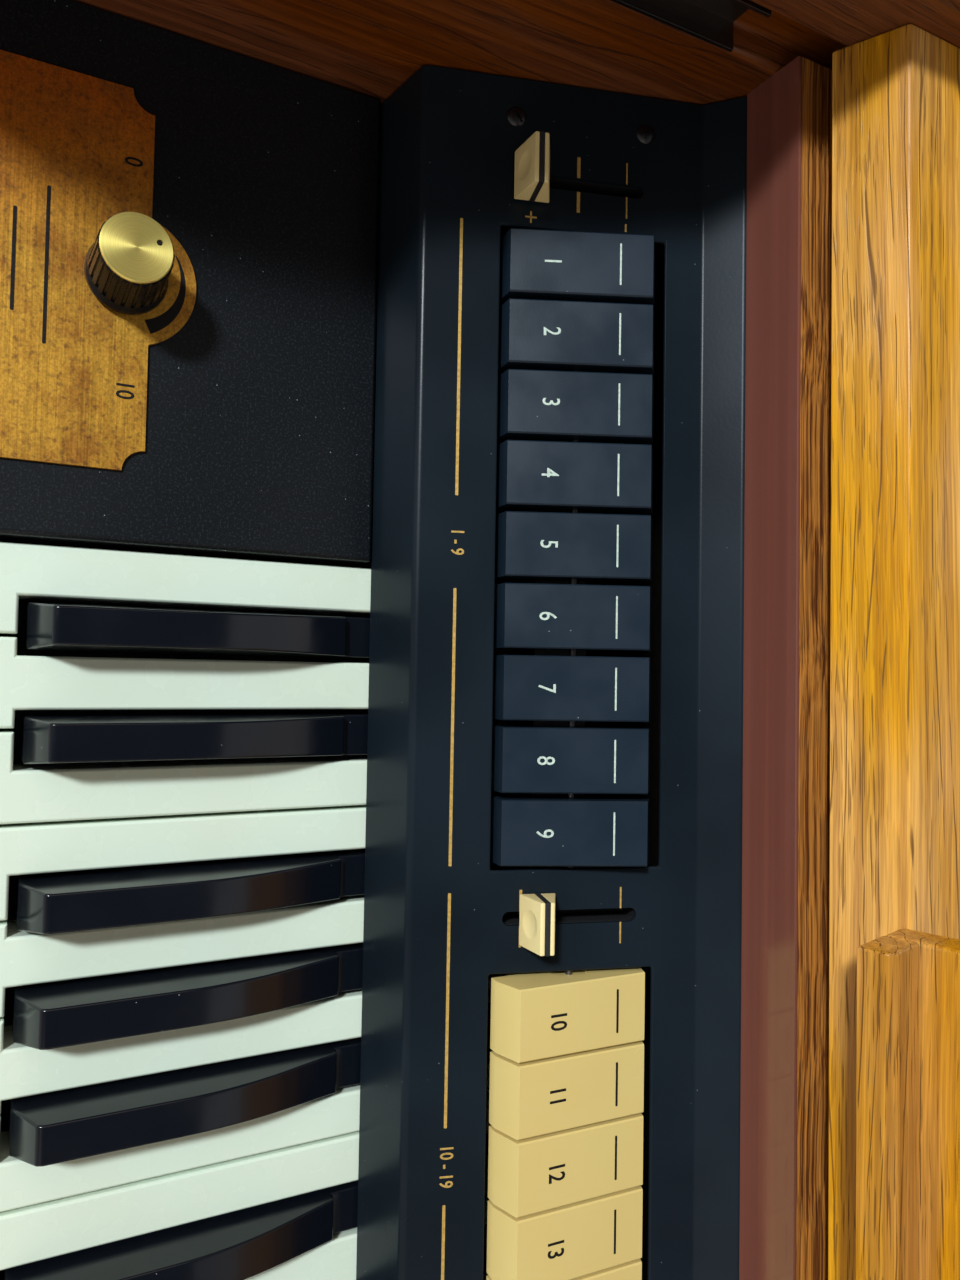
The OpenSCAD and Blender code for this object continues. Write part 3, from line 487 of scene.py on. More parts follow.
def copper_plate(surface):
    """Brushed copper-coloured metal with dark spots that have grown in its lacquer, and a painted shadow of
    the side panel that makes it darker and redder towards the left.
    """
    brushed = surface.drawn("X", 30, 3000)
    blotch = surface.noise(90, detail=4, roughness=0.65)
    spot = surface.noise(620, detail=3, roughness=0.55)
    grit = surface.noise(1500, detail=3, roughness=0.6)
    # Painted shadow of the side panel: darker and redder towards the left, with a wavering edge near the
    # knob
    across = surface.add("ShaderNodeSeparateXYZ", {"Vector": surface.place}).outputs[0]
    wander = surface.math("MULTIPLY_ADD", surface.noise(14), 40 * MM, across)
    out_of_painted_shadow = surface.span(wander, KNOB.x - 28 * MM, KNOB.x + 26 * MM)
    tone = surface.blend(out_of_painted_shadow, COPPER_IN_PAINTED_SHADOW, colour("copper"))
    tone = surface.blend(surface.span(blotch, 0.40, 0.70, 0, 0.8), tone, COPPER_BLOTCH)
    tone = surface.shaded(surface.span(brushed, 0.25, 0.75, 0.88, 1.10), tone)
    tone = surface.shaded(surface.span(grit, 0.35, 0.65, 0.84, 1.18), tone)
    spotted = surface.math("MULTIPLY", surface.span(spot, 0.50, 0.72, 0, 0.68),
                           surface.span(blotch, 0.32, 0.6, 0.6, 1))
    tone = surface.blend(spotted, tone, COPPER_SPOT)
    surface.look(Base_Color=tone, Metallic=0.6, Roughness=surface.span(brushed, 0.2, 0.8, 0.38, 0.52))
    surface.relief(brushed, 0.010 * MM)


def from_knob_axis(surface):
    """Distance from the axis that the knob turns on."""
    offset = surface.vector("SUBTRACT", surface.place, KNOB)
    parts = surface.add("ShaderNodeSeparateXYZ", {"Vector": offset}).outputs
    squares = [surface.math("POWER", part, 2.0) for part in (parts["X"], parts["Y"])]
    return surface.math("SQRT", surface.math("ADD", *squares))


def turned_brass(surface):
    """Brass faced on a lathe: fine rings, whose gloss fans out from the middle."""
    rings = surface.add("ShaderNodeTexNoise", {"W": from_knob_axis(surface), "Scale": 5200.0, "Detail": 2.0},
                        noise_dimensions="1D").outputs["Fac"]
    tangent = surface.add("ShaderNodeTangent", direction_type="RADIAL", axis="Z").outputs[0]
    surface.look(
        Base_Color=surface.shaded(surface.span(rings, 0.25, 0.75, 0.86, 1.1), colour("disc")),
        Metallic=0.85, Roughness=0.34, Anisotropic=0.7, Anisotropic_Rotation=0.25, Tangent=tangent)
    surface.relief(rings, 0.004 * MM)


def knob_black(surface):
    """Hard black plastic, rubbed dull in places."""
    fine = surface.noise(1600)
    wear = surface.noise(300)
    tone = surface.shaded(surface.swing(wear, 0.8, 1.3), SKIRT_BLACK)
    surface.look(Base_Color=tone, Roughness=surface.swing(wear, 0.2, 0.3), Specular_IOR_Level=0.08)
    surface.relief(fine, 0.01 * MM)


def moulded_black(surface):
    """Plain black plastic of housings and blades."""
    fine = surface.noise(1400)
    surface.look(Base_Color=surface.shaded(surface.swing(fine, 0.85, 1.2), MOULDED_BLACK), Roughness=0.42)
    surface.relief(fine, 0.02 * MM)


def drawn_metal(base, grain, roughness):
    """Metal drawn or rolled along one axis, with a cloudy surface."""
    def made(surface):
        drawn = surface.drawn(grain, 12, 2600)
        cloud = surface.noise(35, detail=3)
        tone = surface.shaded(surface.swing(cloud, 0.85, 1.1), base)
        tone = surface.shaded(surface.span(drawn, 0.25, 0.75, 0.9, 1.08), tone)
        dull = surface.span(drawn, 0.2, 0.8, roughness - 0.05, roughness + 0.08)
        surface.look(Base_Color=tone, Metallic=1.0, Roughness=dull)
        surface.relief(drawn, 0.008 * MM)
    return made


def ink(base, metallic=0.0):
    """Printed ink, a little worn."""
    def made(surface):
        worn = surface.noise(1300, detail=3)
        tone = surface.shaded(surface.span(worn, 0.25, 0.7, 0.78, 1.1), base)
        surface.look(
            Base_Color=tone, Metallic=metallic, Roughness=surface.swing(worn, 0.4, 0.55),
            Specular_IOR_Level=0.15)
    return made


def finishes():
    """What makes each finish: the record's slots, the finishes of single boards, inks and screws."""
    return {
        "case_wood": open_grain(colour("side_light"), colour("side_dark"), "X", pores=0.6),
        "side_wood": open_grain(colour("side_light"), colour("side_dark"), "Y", pores=0.8),
        "top_oak": open_grain(colour("oak_light"), colour("oak_dark"), "X"),
        "shelf_veneer": striped_veneer,
        "fascia_gloss": gloss_maroon,
        "cheek_black": grained_black,
        "panel_black": satin_black,
        "steel_grey": drawn_metal(STEEL_GREY, "X", 0.42),
        "housing_black": moulded_black,
        "rail_metal": drawn_metal(RAIL_GREY, "Y", 0.36),
        "plate_copper": copper_plate,
        "key_ivory": ivory,
        "key_black": gloss_black,
        "tab_black": moulded_slate,
        "tab_cream": cream_plastic("tab_cream"),
        "slider_cream": cream_plastic("cap_cream"),
        "blade_black": moulded_black,
        "knob_black": knob_black,
        "knob_brass": turned_brass,
        "painted_shade_base": stained_board,
        "painted_shade_desk_oak": open_grain(DESK_PALE_IN_PAINTED_SHADE, DESK_DARK_IN_PAINTED_SHADE, "X"),
        "gold_ink": ink(colour("gold_ink"), 0.25),
        "white_ink": ink(WHITE_INK),
        "black_ink": ink(BLACK_INK),
        "black_steel": drawn_metal(SCREW_BLACK, "X", 0.38),
    }


# Boards whose finish differs from what their slot has elsewhere
BOARD_FINISHES = {
    # The base board is near black: painted shade
    "base_board": "painted_shade_base",
    # The music desk's oak is darker than the top board's: painted shade
    "music_desk_board": "painted_shade_desk_oak",
    "music_desk_ledge": "painted_shade_desk_oak",
    "music_desk_brackets": "painted_shade_desk_oak",
}


def finish_named(name):
    """The material of that name, made when it is first asked for."""
    title = name + "_finish"
    if title not in bpy.data.materials:
        finishes()[name](Surface(title))
    return bpy.data.materials[title]


def wear_finish(piece, name):
    """Give the whole piece one finish."""
    piece.data.materials.clear()
    piece.data.materials.append(finish_named(name))


def activate(*pieces):
    """Select these pieces alone, with the first of them active."""
    bpy.ops.object.select_all(action="DESELECT")
    for piece in pieces:
        piece.select_set(True)
    bpy.context.view_layer.objects.active = pieces[0]


@contextlib.contextmanager
def editing(piece):
    """Edit mode, with every edge selected."""
    activate(piece)
    bpy.ops.object.mode_set(mode="EDIT")
    bpy.ops.mesh.select_mode(type="EDGE")
    bpy.ops.mesh.select_all(action="SELECT")
    yield
    bpy.ops.object.mode_set(mode="OBJECT")


def apply_modifier(piece, kind, **settings):
    """Put a modifier on the piece and make its result the mesh."""
    activate(piece)
    modifier = piece.modifiers.new(kind.title(), kind)
    for name, value in settings.items():
        setattr(modifier, name, value)
    bpy.ops.object.modifier_apply(modifier=modifier.name)


def smooth(piece, degrees=40):
    """Smooth shading that keeps large faces flat."""
    activate(piece)
    bpy.ops.object.shade_smooth_by_angle(angle=math.radians(degrees))
    apply_modifier(piece, "WEIGHTED_NORMAL", keep_sharp=True)


def merged_copy(node):
    """A copy of a node's mesh with its loose triangles merged into whole faces."""
    piece = bpy.data.objects.new(node + "_finished", frame["nodes"][node].data.copy())
    bpy.context.collection.objects.link(piece)
    activate(piece)
    bpy.ops.mesh.customdata_custom_splitnormals_clear()
    with editing(piece):
        bpy.ops.mesh.remove_doubles(threshold=MERGE_DISTANCE)
        bpy.ops.mesh.dissolve_limited(angle_limit=FLAT_ANGLE)
    return piece


def round_edges(piece, radius, chosen=None, segments=2, clamp=True):
    """Round the sharp edges, or only those whose ends are all chosen."""
    with editing(piece):
        bpy.ops.mesh.select_all(action="DESELECT")
        bpy.ops.mesh.edges_select_sharp(sharpness=SHARP_ANGLE)
    if chosen:
        places = [vertex.co for vertex in piece.data.vertices]
        for edge in piece.data.edges:
            if edge.select and not all(chosen(places[i]) for i in edge.vertices):
                edge.select = False
    bpy.ops.object.mode_set(mode="EDIT")
    bpy.ops.mesh.bevel(offset=radius, segments=segments, profile=0.5, clamp_overlap=clamp)
    bpy.ops.object.mode_set(mode="OBJECT")


def standing_for(piece, node):
    """The piece, smooth and with its finish, in the node's place."""
    smooth(piece)
    wear_finish(piece, BOARD_FINISHES.get(node, SLOTS[node]))
    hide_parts(node)
    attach(piece, frame["nodes"][node]["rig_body"])
    return piece


def dressed(node, radius=0.0, chosen=None, segments=2, clamp=True):
    """The node's piece with rounded edges and its finish, which stands for the node."""
    piece = merged_copy(node)
    if radius:
        round_edges(piece, radius, chosen, segments, clamp)
    return standing_for(piece, node)


def in_front_of_lip(place):
    return place.y < LIP + LIP_MARGIN


def above_pivots(place):
    return (place - TAB_PIVOT).dot(OUT) > PIVOT_MARGIN


def on_crest(place):
    return place.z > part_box("stop_panel")[1].z - CREST_DEPTH


def middle_of(node):
    """The middle of the node along the keyboard."""
    low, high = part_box(node)
    return (low.x + high.x) / 2


def joined(pieces, name):
    """The pieces as one, which takes the name."""
    activate(*pieces)
    if len(pieces) > 1:
        bpy.ops.object.join()
    pieces[0].name = name
    return pieces[0]


# Corners of printed bars, in the plane of the print
CORNER = 0.15 * MM
FINE_CORNER = 0.1 * MM


def thicken(piece):
    """Give a flat print its height."""
    with editing(piece):
        bpy.ops.mesh.extrude_region_move(TRANSFORM_OT_translate={"value": (0, 0, sizes().print_height)})
        bpy.ops.mesh.select_all(action="SELECT")
        bpy.ops.mesh.normals_make_consistent(inside=False)


def bar(face, x, y, width, length, corner=CORNER):
    """A printed bar with rounded corners, centred on x and y of a face."""
    bpy.ops.object.select_all(action="DESELECT")
    bpy.ops.mesh.primitive_plane_add(size=1)
    piece = bpy.context.object
    piece.data.transform(Matrix.Diagonal((width, length, 1, 1)))
    with editing(piece):
        bpy.ops.mesh.bevel(offset=corner, segments=2, affect="VERTICES")
    thicken(piece)
    piece.data.transform(face @ Matrix.Translation((x, y, 0)))
    return piece


# A figure's height as a share of the type's, how narrow it is, what is added to its strokes, and
# the steps in its curves
FIGURE_SHARE = 0.70
FIGURE_WIDTH = 0.78
FIGURE_WEIGHT = 0.022
THIN_FIGURE_WEIGHT = 0.008
FIGURE_STEPS = 3


def figure(face, text, x, y, height, weight=FIGURE_WEIGHT):
    """A printed figure, centred on x and y of a face."""
    bpy.ops.object.select_all(action="DESELECT")
    bpy.ops.object.text_add()
    words = bpy.context.object.data
    words.body = text
    words.size = height / FIGURE_SHARE
    words.align_x = "CENTER"
    words.align_y = "CENTER"
    words.resolution_u = FIGURE_STEPS
    words.extrude = sizes().print_height / 2
    words.offset = height * weight
    bpy.ops.object.convert(target="MESH")
    piece = bpy.context.object
    raised = Matrix.Translation((x, y, sizes().print_height / 2))
    piece.data.transform(face @ raised @ Matrix.Diagonal((FIGURE_WIDTH, 1, 1, 1)))
    return piece


def printed(pieces, name, ink_name, body=ROOT):
    """The marks as one print, which rides on a body."""
    piece = joined(pieces, name)
    wear_finish(piece, ink_name)
    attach(piece, body)
    return piece


class ORGAN_OT_case(bpy.types.Operator):
    """Dress the boards, the cheek blocks and the rails"""

    bl_idname = "organ.case"
    bl_label = "Case"

    def execute(self, context):
        size = sizes()
        for node in ("side_panel_left", "side_panel_right"):
            dressed(node, size.side_edge, segments=3)
        for node in ("top_board", "back_board", "base_board"):
            dressed(node, size.board_edge, segments=3)
        for node in ("front_rail", "cheek_block_left", "cheek_block_right"):
            dressed(node, size.board_edge / 2)
        for node in ("fascia_board", "lid_shelf"):
            dressed(node, size.board_edge / 4)
        dressed("lid_rails", FINE_EDGE)
        return {"FINISHED"}


class ORGAN_OT_music_desk(bpy.types.Operator):
    """Dress the music desk"""

    bl_idname = "organ.music_desk"
    bl_label = "Music desk"

    def execute(self, context):
        edge = sizes().board_edge
        dressed("music_desk_board", edge * 1.5, segments=3)
        dressed("music_desk_ledge", edge)
        dressed("music_desk_brackets", edge, segments=3)
        return {"FINISHED"}


class ORGAN_OT_keys(bpy.types.Operator):
    """Dress the keys and what carries them"""

    bl_idname = "organ.keys"
    bl_label = "Keys"

    def natural(self, node):
        """White keys, rounded where they show."""
        dressed(node, sizes().key_edge, in_front_of_lip)

    def sharp(self, node):
        """Black keys, rounded where they show."""
        dressed(node, sizes().sharp_edge, in_front_of_lip, segments=4, clamp=False)

    def execute(self, context):
        for name in NATURALS:
            self.natural("key_" + name)
        for name in SHARPS:
            self.sharp("key_" + name)
        self.natural("upper_naturals")
        self.sharp("upper_sharps")
        dressed("key_frame")
        dressed("key_stop_rail", sizes().board_edge)
        return {"FINISHED"}


class ORGAN_OT_panel(bpy.types.Operator):
    """Dress the folded panel and print its lines"""

    bl_idname = "organ.panel"
    bl_label = "Panel"

    CREST_EDGE = 0.7 * MM
    LINE_UP = 11.5 * MM
    LINE_CORNER = 0.2 * MM
    FIGURE_UP = 11.8 * MM
    FIGURE_HEIGHT = 3.6 * MM
    # Starts and ends of the lines, and the figures between them, in millimetres along the panel
    LINES = ((-96.4, -18.2), (7.6, 83.9), (91.2, 154.3), (174.7, 302.2),
             (320.6, 368.0), (388.4, 532.1), (550.5, 598.0), (618.4, 762.1))
    FIGURES = ((-5.3, "1 - 9"), (164.5, "10 - 19"))

    def execute(self, context):
        panel = merged_copy("stop_panel")
        round_edges(panel, self.CREST_EDGE, on_crest, 4)
        round_edges(panel, FINE_EDGE)
        standing_for(panel, "stop_panel")
        dressed("panel_carriers")
        marks = []
        for start, end in self.LINES:
            middle, length = (start + end) / 2 * MM, (end - start) * MM
            marks.append(bar(PANEL, middle, self.LINE_UP, length, sizes().line_width, self.LINE_CORNER))
        for x, text in self.FIGURES:
            marks.append(figure(PANEL, text, x * MM, self.FIGURE_UP, self.FIGURE_HEIGHT))
        printed(marks, "panel_lines", "gold_ink")
        return {"FINISHED"}


class ORGAN_OT_tabs(bpy.types.Operator):
    """Dress the rocker tabs and print their figures"""

    bl_idname = "organ.tabs"
    bl_label = "Tabs"

    # Each kind's lean against the panel, its top's height over the pivot, its length, and its print
    BLACK = {"tilt": math.radians(7.5), "rise": 7.0 * MM, "length": 40.8 * MM,
             "weight": THIN_FIGURE_WEIGHT, "stroke": 0.5 * MM}
    CREAM = {"tilt": math.radians(-14), "rise": 8.7 * MM, "length": 39.7 * MM,
             "weight": FIGURE_WEIGHT, "stroke": 0.7 * MM}
    PITCH = 20.05 * MM
    GROUP_SPACE = 29.4 * MM
    # Places on a tab, as shares of its length from the middle
    FIGURE_AT = -0.21
    LINE_AT = 0.27
    LINE_LENGTH = 12 * MM

    def marks(self, x, number, tilt, rise, length, weight, stroke):
        """A tab's figure and the line behind it, on the tab's top."""
        pivot = Matrix.Translation((x, TAB_PIVOT.y, TAB_PIVOT.z))
        face = pivot @ Matrix.Rotation(SLOPE + tilt, 4, "X") @ Matrix.Translation((0, 0, rise))
        return [
            figure(face, str(number), 0, self.FIGURE_AT * length, sizes().figure_height, weight),
            bar(face, 0, self.LINE_AT * length, self.LINE_LENGTH, stroke),
        ]

    def tab(self, node, number, kind, ink_name):
        """A tab that rocks, with its print."""
        dressed(node, sizes().tab_edge, above_pivots)
        printed(self.marks(middle_of(node), number, **kind), node + "_print", ink_name, node)

    def execute(self, context):
        first_cream = BLACK_TABS + 1
        for i in range(BLACK_TABS):
            self.tab(f"black_tab_{i + 1}", i + 1, self.BLACK, "white_ink")
        for i in range(CREAM_TABS):
            self.tab(f"cream_tab_{i + 1}", first_cream + i, self.CREAM, "black_ink")
        dressed("upper_cream_tabs", sizes().tab_edge, above_pivots)
        group_pitch = TABS_IN_GROUP * self.PITCH + self.GROUP_SPACE
        marks = []
        for i in range(CREAM_TABS, CREAM_GROUPS * TABS_IN_GROUP):
            group, place = divmod(i, TABS_IN_GROUP)
            x = middle_of("cream_tab_1") + group * group_pitch + place * self.PITCH
            marks += self.marks(x, first_cream + i, **self.CREAM)
        printed(marks, "upper_cream_tabs_print", "black_ink")
        return {"FINISHED"}


class ORGAN_OT_sliders(bpy.types.Operator):
    """Dress the sliders and print their ticks"""

    bl_idname = "organ.sliders"
    bl_label = "Sliders"

    # The slots, in millimetres along the panel
    END_X = -110.0
    VOLUME_X = 98.75
    # Ticks on both sides of a slot: the slot, how far from it, how far up the slope, width and
    # length, all in millimetres, and the corner
    TICKS = (
        (END_X, 5.05, 45.5, 6.1, 0.95, CORNER),
        (END_X, 5.0, 60.1, 6.4, 0.45, FINE_CORNER),
        (VOLUME_X, 4.9, 60.7, 6.0, 0.5, FINE_CORNER),
        (VOLUME_X, 4.9, 31.55, 6.0, 0.8, CORNER),
    )
    # Bars of the plus and the minus beside the end slider: how far up the slope, width and length
    SIGNS_X = END_X + 11.0
    SIGNS = ((31.5, 0.5, 3.4), (31.5, 3.4, 0.5), (59.9, 2.3, 0.55))

    def tick(self, x, up, width, length, corner=FINE_CORNER):
        """A short bar on the panel, from measures in millimetres."""
        return bar(PANEL, x * MM, up * MM, width * MM, length * MM, corner)

    def execute(self, context):
        for name in ("end_slider", "volume_slider"):
            dressed(name + "_cap", CAP_EDGE)
            dressed(name + "_blade")
        dressed("upper_slider_caps", CAP_EDGE)
        dressed("slider_housings")
        ticks = [self.tick(slot_x + side * aside, *shape)
                 for side in (-1, 1) for slot_x, aside, *shape in self.TICKS]
        ticks += [self.tick(self.SIGNS_X, *shape) for shape in self.SIGNS]
        printed(ticks, "slider_ticks", "gold_ink")
        return {"FINISHED"}


class ORGAN_OT_control(bpy.types.Operator):
    """Dress the plate and the knob, and print the scale"""

    bl_idname = "organ.control"
    bl_label = "Control plate and knob"

    POINTER_TURN = math.radians(114)
    POINTER_AT = 5.6 * MM
    POINTER_DEPTH = 0.4 * MM
    POINTER_WIDTH = 1.4 * MM
    POINTER_CORNER = 0.55 * MM
    # The wedge round the knob, from its thin end to its thick one
    WEDGE_STEPS = 40
    WEDGE_TURN = (math.radians(124), math.radians(25))
    WEDGE_OUTER = (14.9 * MM, 15.2 * MM)
    WEDGE_INNER = (14.6 * MM, 11.4 * MM)
    # Middles of the figures and of the lines, in millimetres from the first key and the panel's
    # lip, and the lines' lengths
    FIGURES = ((-100.5, -69.5, "0"), (-40.4, -69.9, "10"))
    FIGURE_HEIGHT = 4.4 * MM
    LINES = ((-69, -89, 40), (-69, -96.4, 26))
    LINE_WIDTH = 0.9 * MM
    LINE_CORNER = 0.3 * MM

    def wedge(self, face):
        """A printed wedge that widens round the knob."""
        bpy.ops.object.select_all(action="DESELECT")
        bpy.ops.mesh.primitive_grid_add(x_subdivisions=self.WEDGE_STEPS, y_subdivisions=1, size=2)
        piece = bpy.context.object
        for vertex in piece.data.vertices:
            start, end = self.WEDGE_OUTER if vertex.co.y > 0 else self.WEDGE_INNER
            share = (vertex.co.x + 1) / 2
            radius = start + (end - start) * share
            turn = self.WEDGE_TURN[0] + (self.WEDGE_TURN[1] - self.WEDGE_TURN[0]) * share
            vertex.co = (radius * math.cos(turn), radius * math.sin(turn), 0)
        thicken(piece)
        piece.data.transform(face)
        return piece

    def pointer(self):
        """The dot in the disc's pit."""
        pit = Matrix.Translation((KNOB.x, KNOB.y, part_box("knob_disc")[1].z - self.POINTER_DEPTH))
        x = self.POINTER_AT * math.cos(self.POINTER_TURN)
        y = self.POINTER_AT * math.sin(self.POINTER_TURN)
        return bar(pit, x, y, self.POINTER_WIDTH, self.POINTER_WIDTH, self.POINTER_CORNER)

    def execute(self, context):
        dressed("control_plate", PLATE_EDGE)
        dressed("knob_housing")
        dressed("knob_skirt")
        dressed("knob_disc")
        plate_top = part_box("control_plate")[1].z
        plate = Matrix.Translation((KEYS_LEFT, LIP, plate_top))
        marks = [self.wedge(Matrix.Translation((KNOB.x, KNOB.y, plate_top)))]
        for x, y, text in self.FIGURES:
            marks.append(figure(plate, text, x * MM, y * MM, self.FIGURE_HEIGHT))
        for x, y, length in self.LINES:
            marks.append(bar(plate, x * MM, y * MM, length * MM, self.LINE_WIDTH, self.LINE_CORNER))
        printed(marks, "plate_print", "black_ink")
        printed([self.pointer()], "pointer_dot", "black_ink", "knob")
        return {"FINISHED"}


class ORGAN_OT_screws(bpy.types.Operator):
    """Put slotted screws in the panel's ends and in the back board"""

    bl_idname = "organ.screws"
    bl_label = "Screws"

    # The head, in shares of its radius: where the ball is cut, and where its slot is and how big
    SEGMENTS = 28
    RINGS = 14
    CUT_AT = 0.35
    SPREAD = (1.06, 1.06, 0.62)
    SLOT_AT = 0.36
    SLOT_SIZE = (3, 0.26, 0.3)
    SMOOTH_DEGREES = 50
    # Places on the panel: beside the keys, and up the slope
    PAST_KEYS = 127.6 * MM
    PANEL_UPS = (26.9 * MM, 65.8 * MM)
    LEFT_TURN, RIGHT_TURN = 0.7, 2.1
    # The back board's two rows, and how much larger their heads are
    BACK_COLUMNS = 7
    BACK_INSET = 22 * MM
    BACK_GROWTH = 1.2
    COLUMN_TURN, ROW_TURN = 0.5, 0.9

    def head(self, radius):
        """A domed head with a slot, at the origin."""
        bpy.ops.object.select_all(action="DESELECT")
        bpy.ops.mesh.primitive_uv_sphere_add(segments=self.SEGMENTS, ring_count=self.RINGS, radius=radius)
        piece = bpy.context.object
        cut = radius * self.CUT_AT
        with editing(piece):
            bpy.ops.mesh.bisect(
                plane_co=(0, 0, cut), plane_no=(0, 0, 1), clear_inner=True, use_fill=True)
        piece.data.transform(Matrix.Diagonal((*self.SPREAD, 1)) @ Matrix.Translation((0, 0, -cut)))
        bpy.ops.mesh.primitive_cube_add(size=1)
        cutter = bpy.context.object
        slot = Matrix.Diagonal((*(radius * share for share in self.SLOT_SIZE), 1))
        cutter.data.transform(Matrix.Translation((0, 0, radius * self.SLOT_AT)) @ slot)
        apply_modifier(piece, "BOOLEAN", object=cutter, operation="DIFFERENCE", solver="EXACT")
        bpy.data.objects.remove(cutter)
        return piece

    def screw(self, head, face, x, y, turn):
        """A copy of the head on a face, with its slot turned."""
        piece = bpy.data.objects.new("screw", head.data.copy())
        bpy.context.collection.objects.link(piece)
        piece.data.transform(face @ Matrix.Translation((x, y, 0)) @ Matrix.Rotation(turn, 4, "Z"))
        smooth(piece, self.SMOOTH_DEGREES)
        return piece

    def on_panel(self, head):
        """Two screws at each end of the panel."""
        right = KEYS_RIGHT - KEYS_LEFT + self.PAST_KEYS
        for i, up in enumerate(self.PANEL_UPS):
            yield self.screw(head, PANEL, -self.PAST_KEYS, up, self.LEFT_TURN + i)
            yield self.screw(head, PANEL, right, up, self.RIGHT_TURN - i)

    def on_back(self, head):
        """Two rows of screws along the back board."""
        low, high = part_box("back_board")
        # Seen from behind: X to the right, Y up and Z out of the board
        turned = Matrix(((-1, 0, 0, 0), (0, 0, 1, 0), (0, 1, 0, 0), (0, 0, 0, 1)))
        back = Matrix.Translation((high.x, high.y, low.z)) @ turned
        step = (high.x - low.x - 2 * self.BACK_INSET) / (self.BACK_COLUMNS - 1)
        rows = (self.BACK_INSET, high.z - low.z - self.BACK_INSET)
        for i in range(self.BACK_COLUMNS):
            for j, y in enumerate(rows):
                turn = self.COLUMN_TURN * i + self.ROW_TURN * j
                yield self.screw(head, back, self.BACK_INSET + i * step, y, turn)

    def execute(self, context):
        radius = sizes().screw_radius
        small, large = self.head(radius), self.head(radius * self.BACK_GROWTH)
        piece = joined([*self.on_panel(small), *self.on_back(large)], "screws")
        wear_finish(piece, "black_steel")
        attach(piece, ROOT)
        for head in (small, large):
            bpy.data.objects.remove(head)
        return {"FINISHED"}


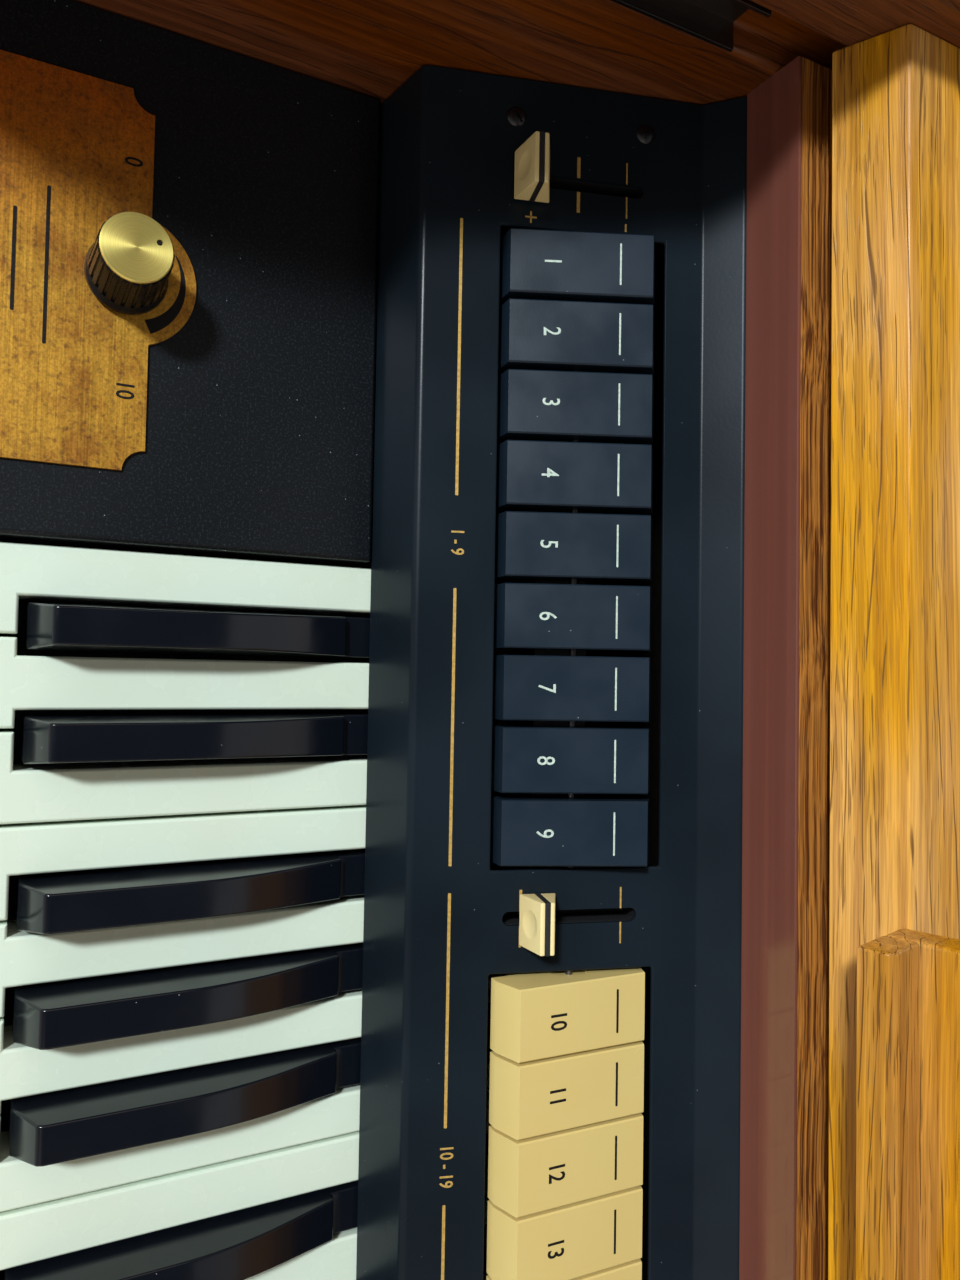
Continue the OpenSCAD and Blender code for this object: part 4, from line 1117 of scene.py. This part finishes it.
class ORGAN_OT_stage(bpy.types.Operator):
    """Set the camera, the soft lamps, the sky and the pale floor"""

    bl_idname = "organ.stage"
    bl_label = "Stage"

    # The camera's place from the manual's origin, and its turns in degrees
    CAMERA_PLACE = (31.2 * MM, -101.0 * MM, 260.2 * MM)
    CAMERA_TURN = 4.38
    CAMERA_TILT = 28.16
    CAMERA_ROLL = 87.11
    LENS = 26.44
    SENSOR = 36.0
    NEAREST = 0.01
    # Heights in the sky, from 0 at the horizon to 1 overhead, and the colours there
    SKY = ((0.05, (0.69, 0.61, 0.54, 1)), (0.75, (0.083, 0.082, 0.081, 1)))
    FLOOR_SIZE = 14
    # Each lamp's place, size, power and tint, all aimed at the same point
    LAMP_AIM = (0, 0, 0.1)
    COOL = (0.92, 1.0, 1.06)
    WARM = (1.0, 0.86, 0.72)
    LAMPS = {
        "key_lamp": ((-1.67, -2.0, 2.43), 0.36, 120, COOL),
        "fill_lamp": ((1.5, -0.9, 1.3), 2.0, 7, WARM),
        "left_lamp": ((-1.7, -0.5, 1.2), 1.6, 7, WARM),
        "back_lamp": ((0.3, 1.7, 1.6), 2.6, 12, (1, 1, 1)),
    }

    def camera(self):
        bpy.ops.object.camera_add()
        camera = bpy.context.object
        turn = Matrix.Rotation(math.radians(self.CAMERA_TURN), 4, "Z")
        tilt = Matrix.Rotation(math.radians(self.CAMERA_TILT), 4, "X")
        roll = Matrix.Rotation(math.radians(self.CAMERA_ROLL), 4, "Z")
        camera.matrix_world = MANUAL @ Matrix.Translation(self.CAMERA_PLACE) @ turn @ tilt @ roll
        camera.data.sensor_fit = "VERTICAL"
        camera.data.sensor_height = self.SENSOR
        camera.data.lens = self.LENS
        camera.data.clip_start = self.NEAREST
        bpy.context.scene.camera = camera

    def lamp(self, name, place, size, power, tint):
        bpy.ops.object.light_add(type="AREA", location=place)
        lamp = bpy.context.object
        lamp.name = name
        lamp.rotation_euler = (Vector(self.LAMP_AIM) - Vector(place)).to_track_quat("-Z", "Y").to_euler()
        lamp.data.shape = "SQUARE"
        lamp.data.size = size
        lamp.data.energy = power
        lamp.data.color = tint
        lamp.visible_camera = False

    def sky(self):
        """Pale at the horizon and dimmer overhead."""
        world = bpy.data.worlds.new("sky")
        bpy.context.scene.world = world
        world.use_nodes = True
        nodes = world.node_tree.nodes
        links = world.node_tree.links
        place = nodes.new("ShaderNodeTexCoord")
        parts = nodes.new("ShaderNodeSeparateXYZ")
        ramp = nodes.new("ShaderNodeValToRGB")
        links.new(place.outputs["Generated"], parts.inputs[0])
        links.new(parts.outputs["Z"], ramp.inputs[0])
        links.new(ramp.outputs[0], nodes["Background"].inputs["Color"])
        for stop, (height, shade) in zip(ramp.color_ramp.elements, self.SKY):
            stop.position = height
            stop.color = shade

    def floor(self):
        bpy.ops.mesh.primitive_plane_add(size=self.FLOOR_SIZE)
        floor = bpy.context.object
        floor.name = "floor"
        surface = Surface("pale_floor")
        grain = surface.noise(30, detail=3)
        surface.look(Base_Color=surface.shaded(surface.swing(grain, 0.98, 1.02), FLOOR_GREY), Roughness=0.7)
        floor.data.materials.append(surface.material)

    def execute(self, context):
        context.scene.view_settings.view_transform = "Standard"
        self.camera()
        self.sky()
        self.floor()
        for name, settings in self.LAMPS.items():
            self.lamp(name, *settings)
        return {"FINISHED"}


OPERATORS = (
    ORGAN_OT_stage, ORGAN_OT_case, ORGAN_OT_music_desk, ORGAN_OT_keys, ORGAN_OT_panel,
    ORGAN_OT_tabs, ORGAN_OT_sliders, ORGAN_OT_control, ORGAN_OT_screws,
)


class ORGAN_PT_sidebar(bpy.types.Panel):
    """Lists the steps and the values they use"""

    bl_label = "Organ console head"
    bl_idname = "ORGAN_PT_sidebar"
    bl_space_type = "VIEW_3D"
    bl_region_type = "UI"
    bl_category = "Organ"

    def draw(self, context):
        for step in OPERATORS:
            self.layout.operator(step.bl_idname)
        for group in (context.scene.console_sizes, context.scene.console_colours):
            for name in group.__annotations__:
                self.layout.prop(group, name)


CLASSES = (ConsoleSizes, ConsoleColours, *OPERATORS, ORGAN_PT_sidebar)


def register():
    for item in CLASSES:
        bpy.utils.register_class(item)
    bpy.types.Scene.console_sizes = bpy.props.PointerProperty(type=ConsoleSizes)
    bpy.types.Scene.console_colours = bpy.props.PointerProperty(type=ConsoleColours)


def unregister():
    del bpy.types.Scene.console_sizes
    del bpy.types.Scene.console_colours
    for item in reversed(CLASSES):
        bpy.utils.unregister_class(item)


def main():
    register()
    for step in OPERATORS:
        family, name = step.bl_idname.split(".")
        getattr(getattr(bpy.ops, family), name)()


if __name__ == "__main__":
    main()
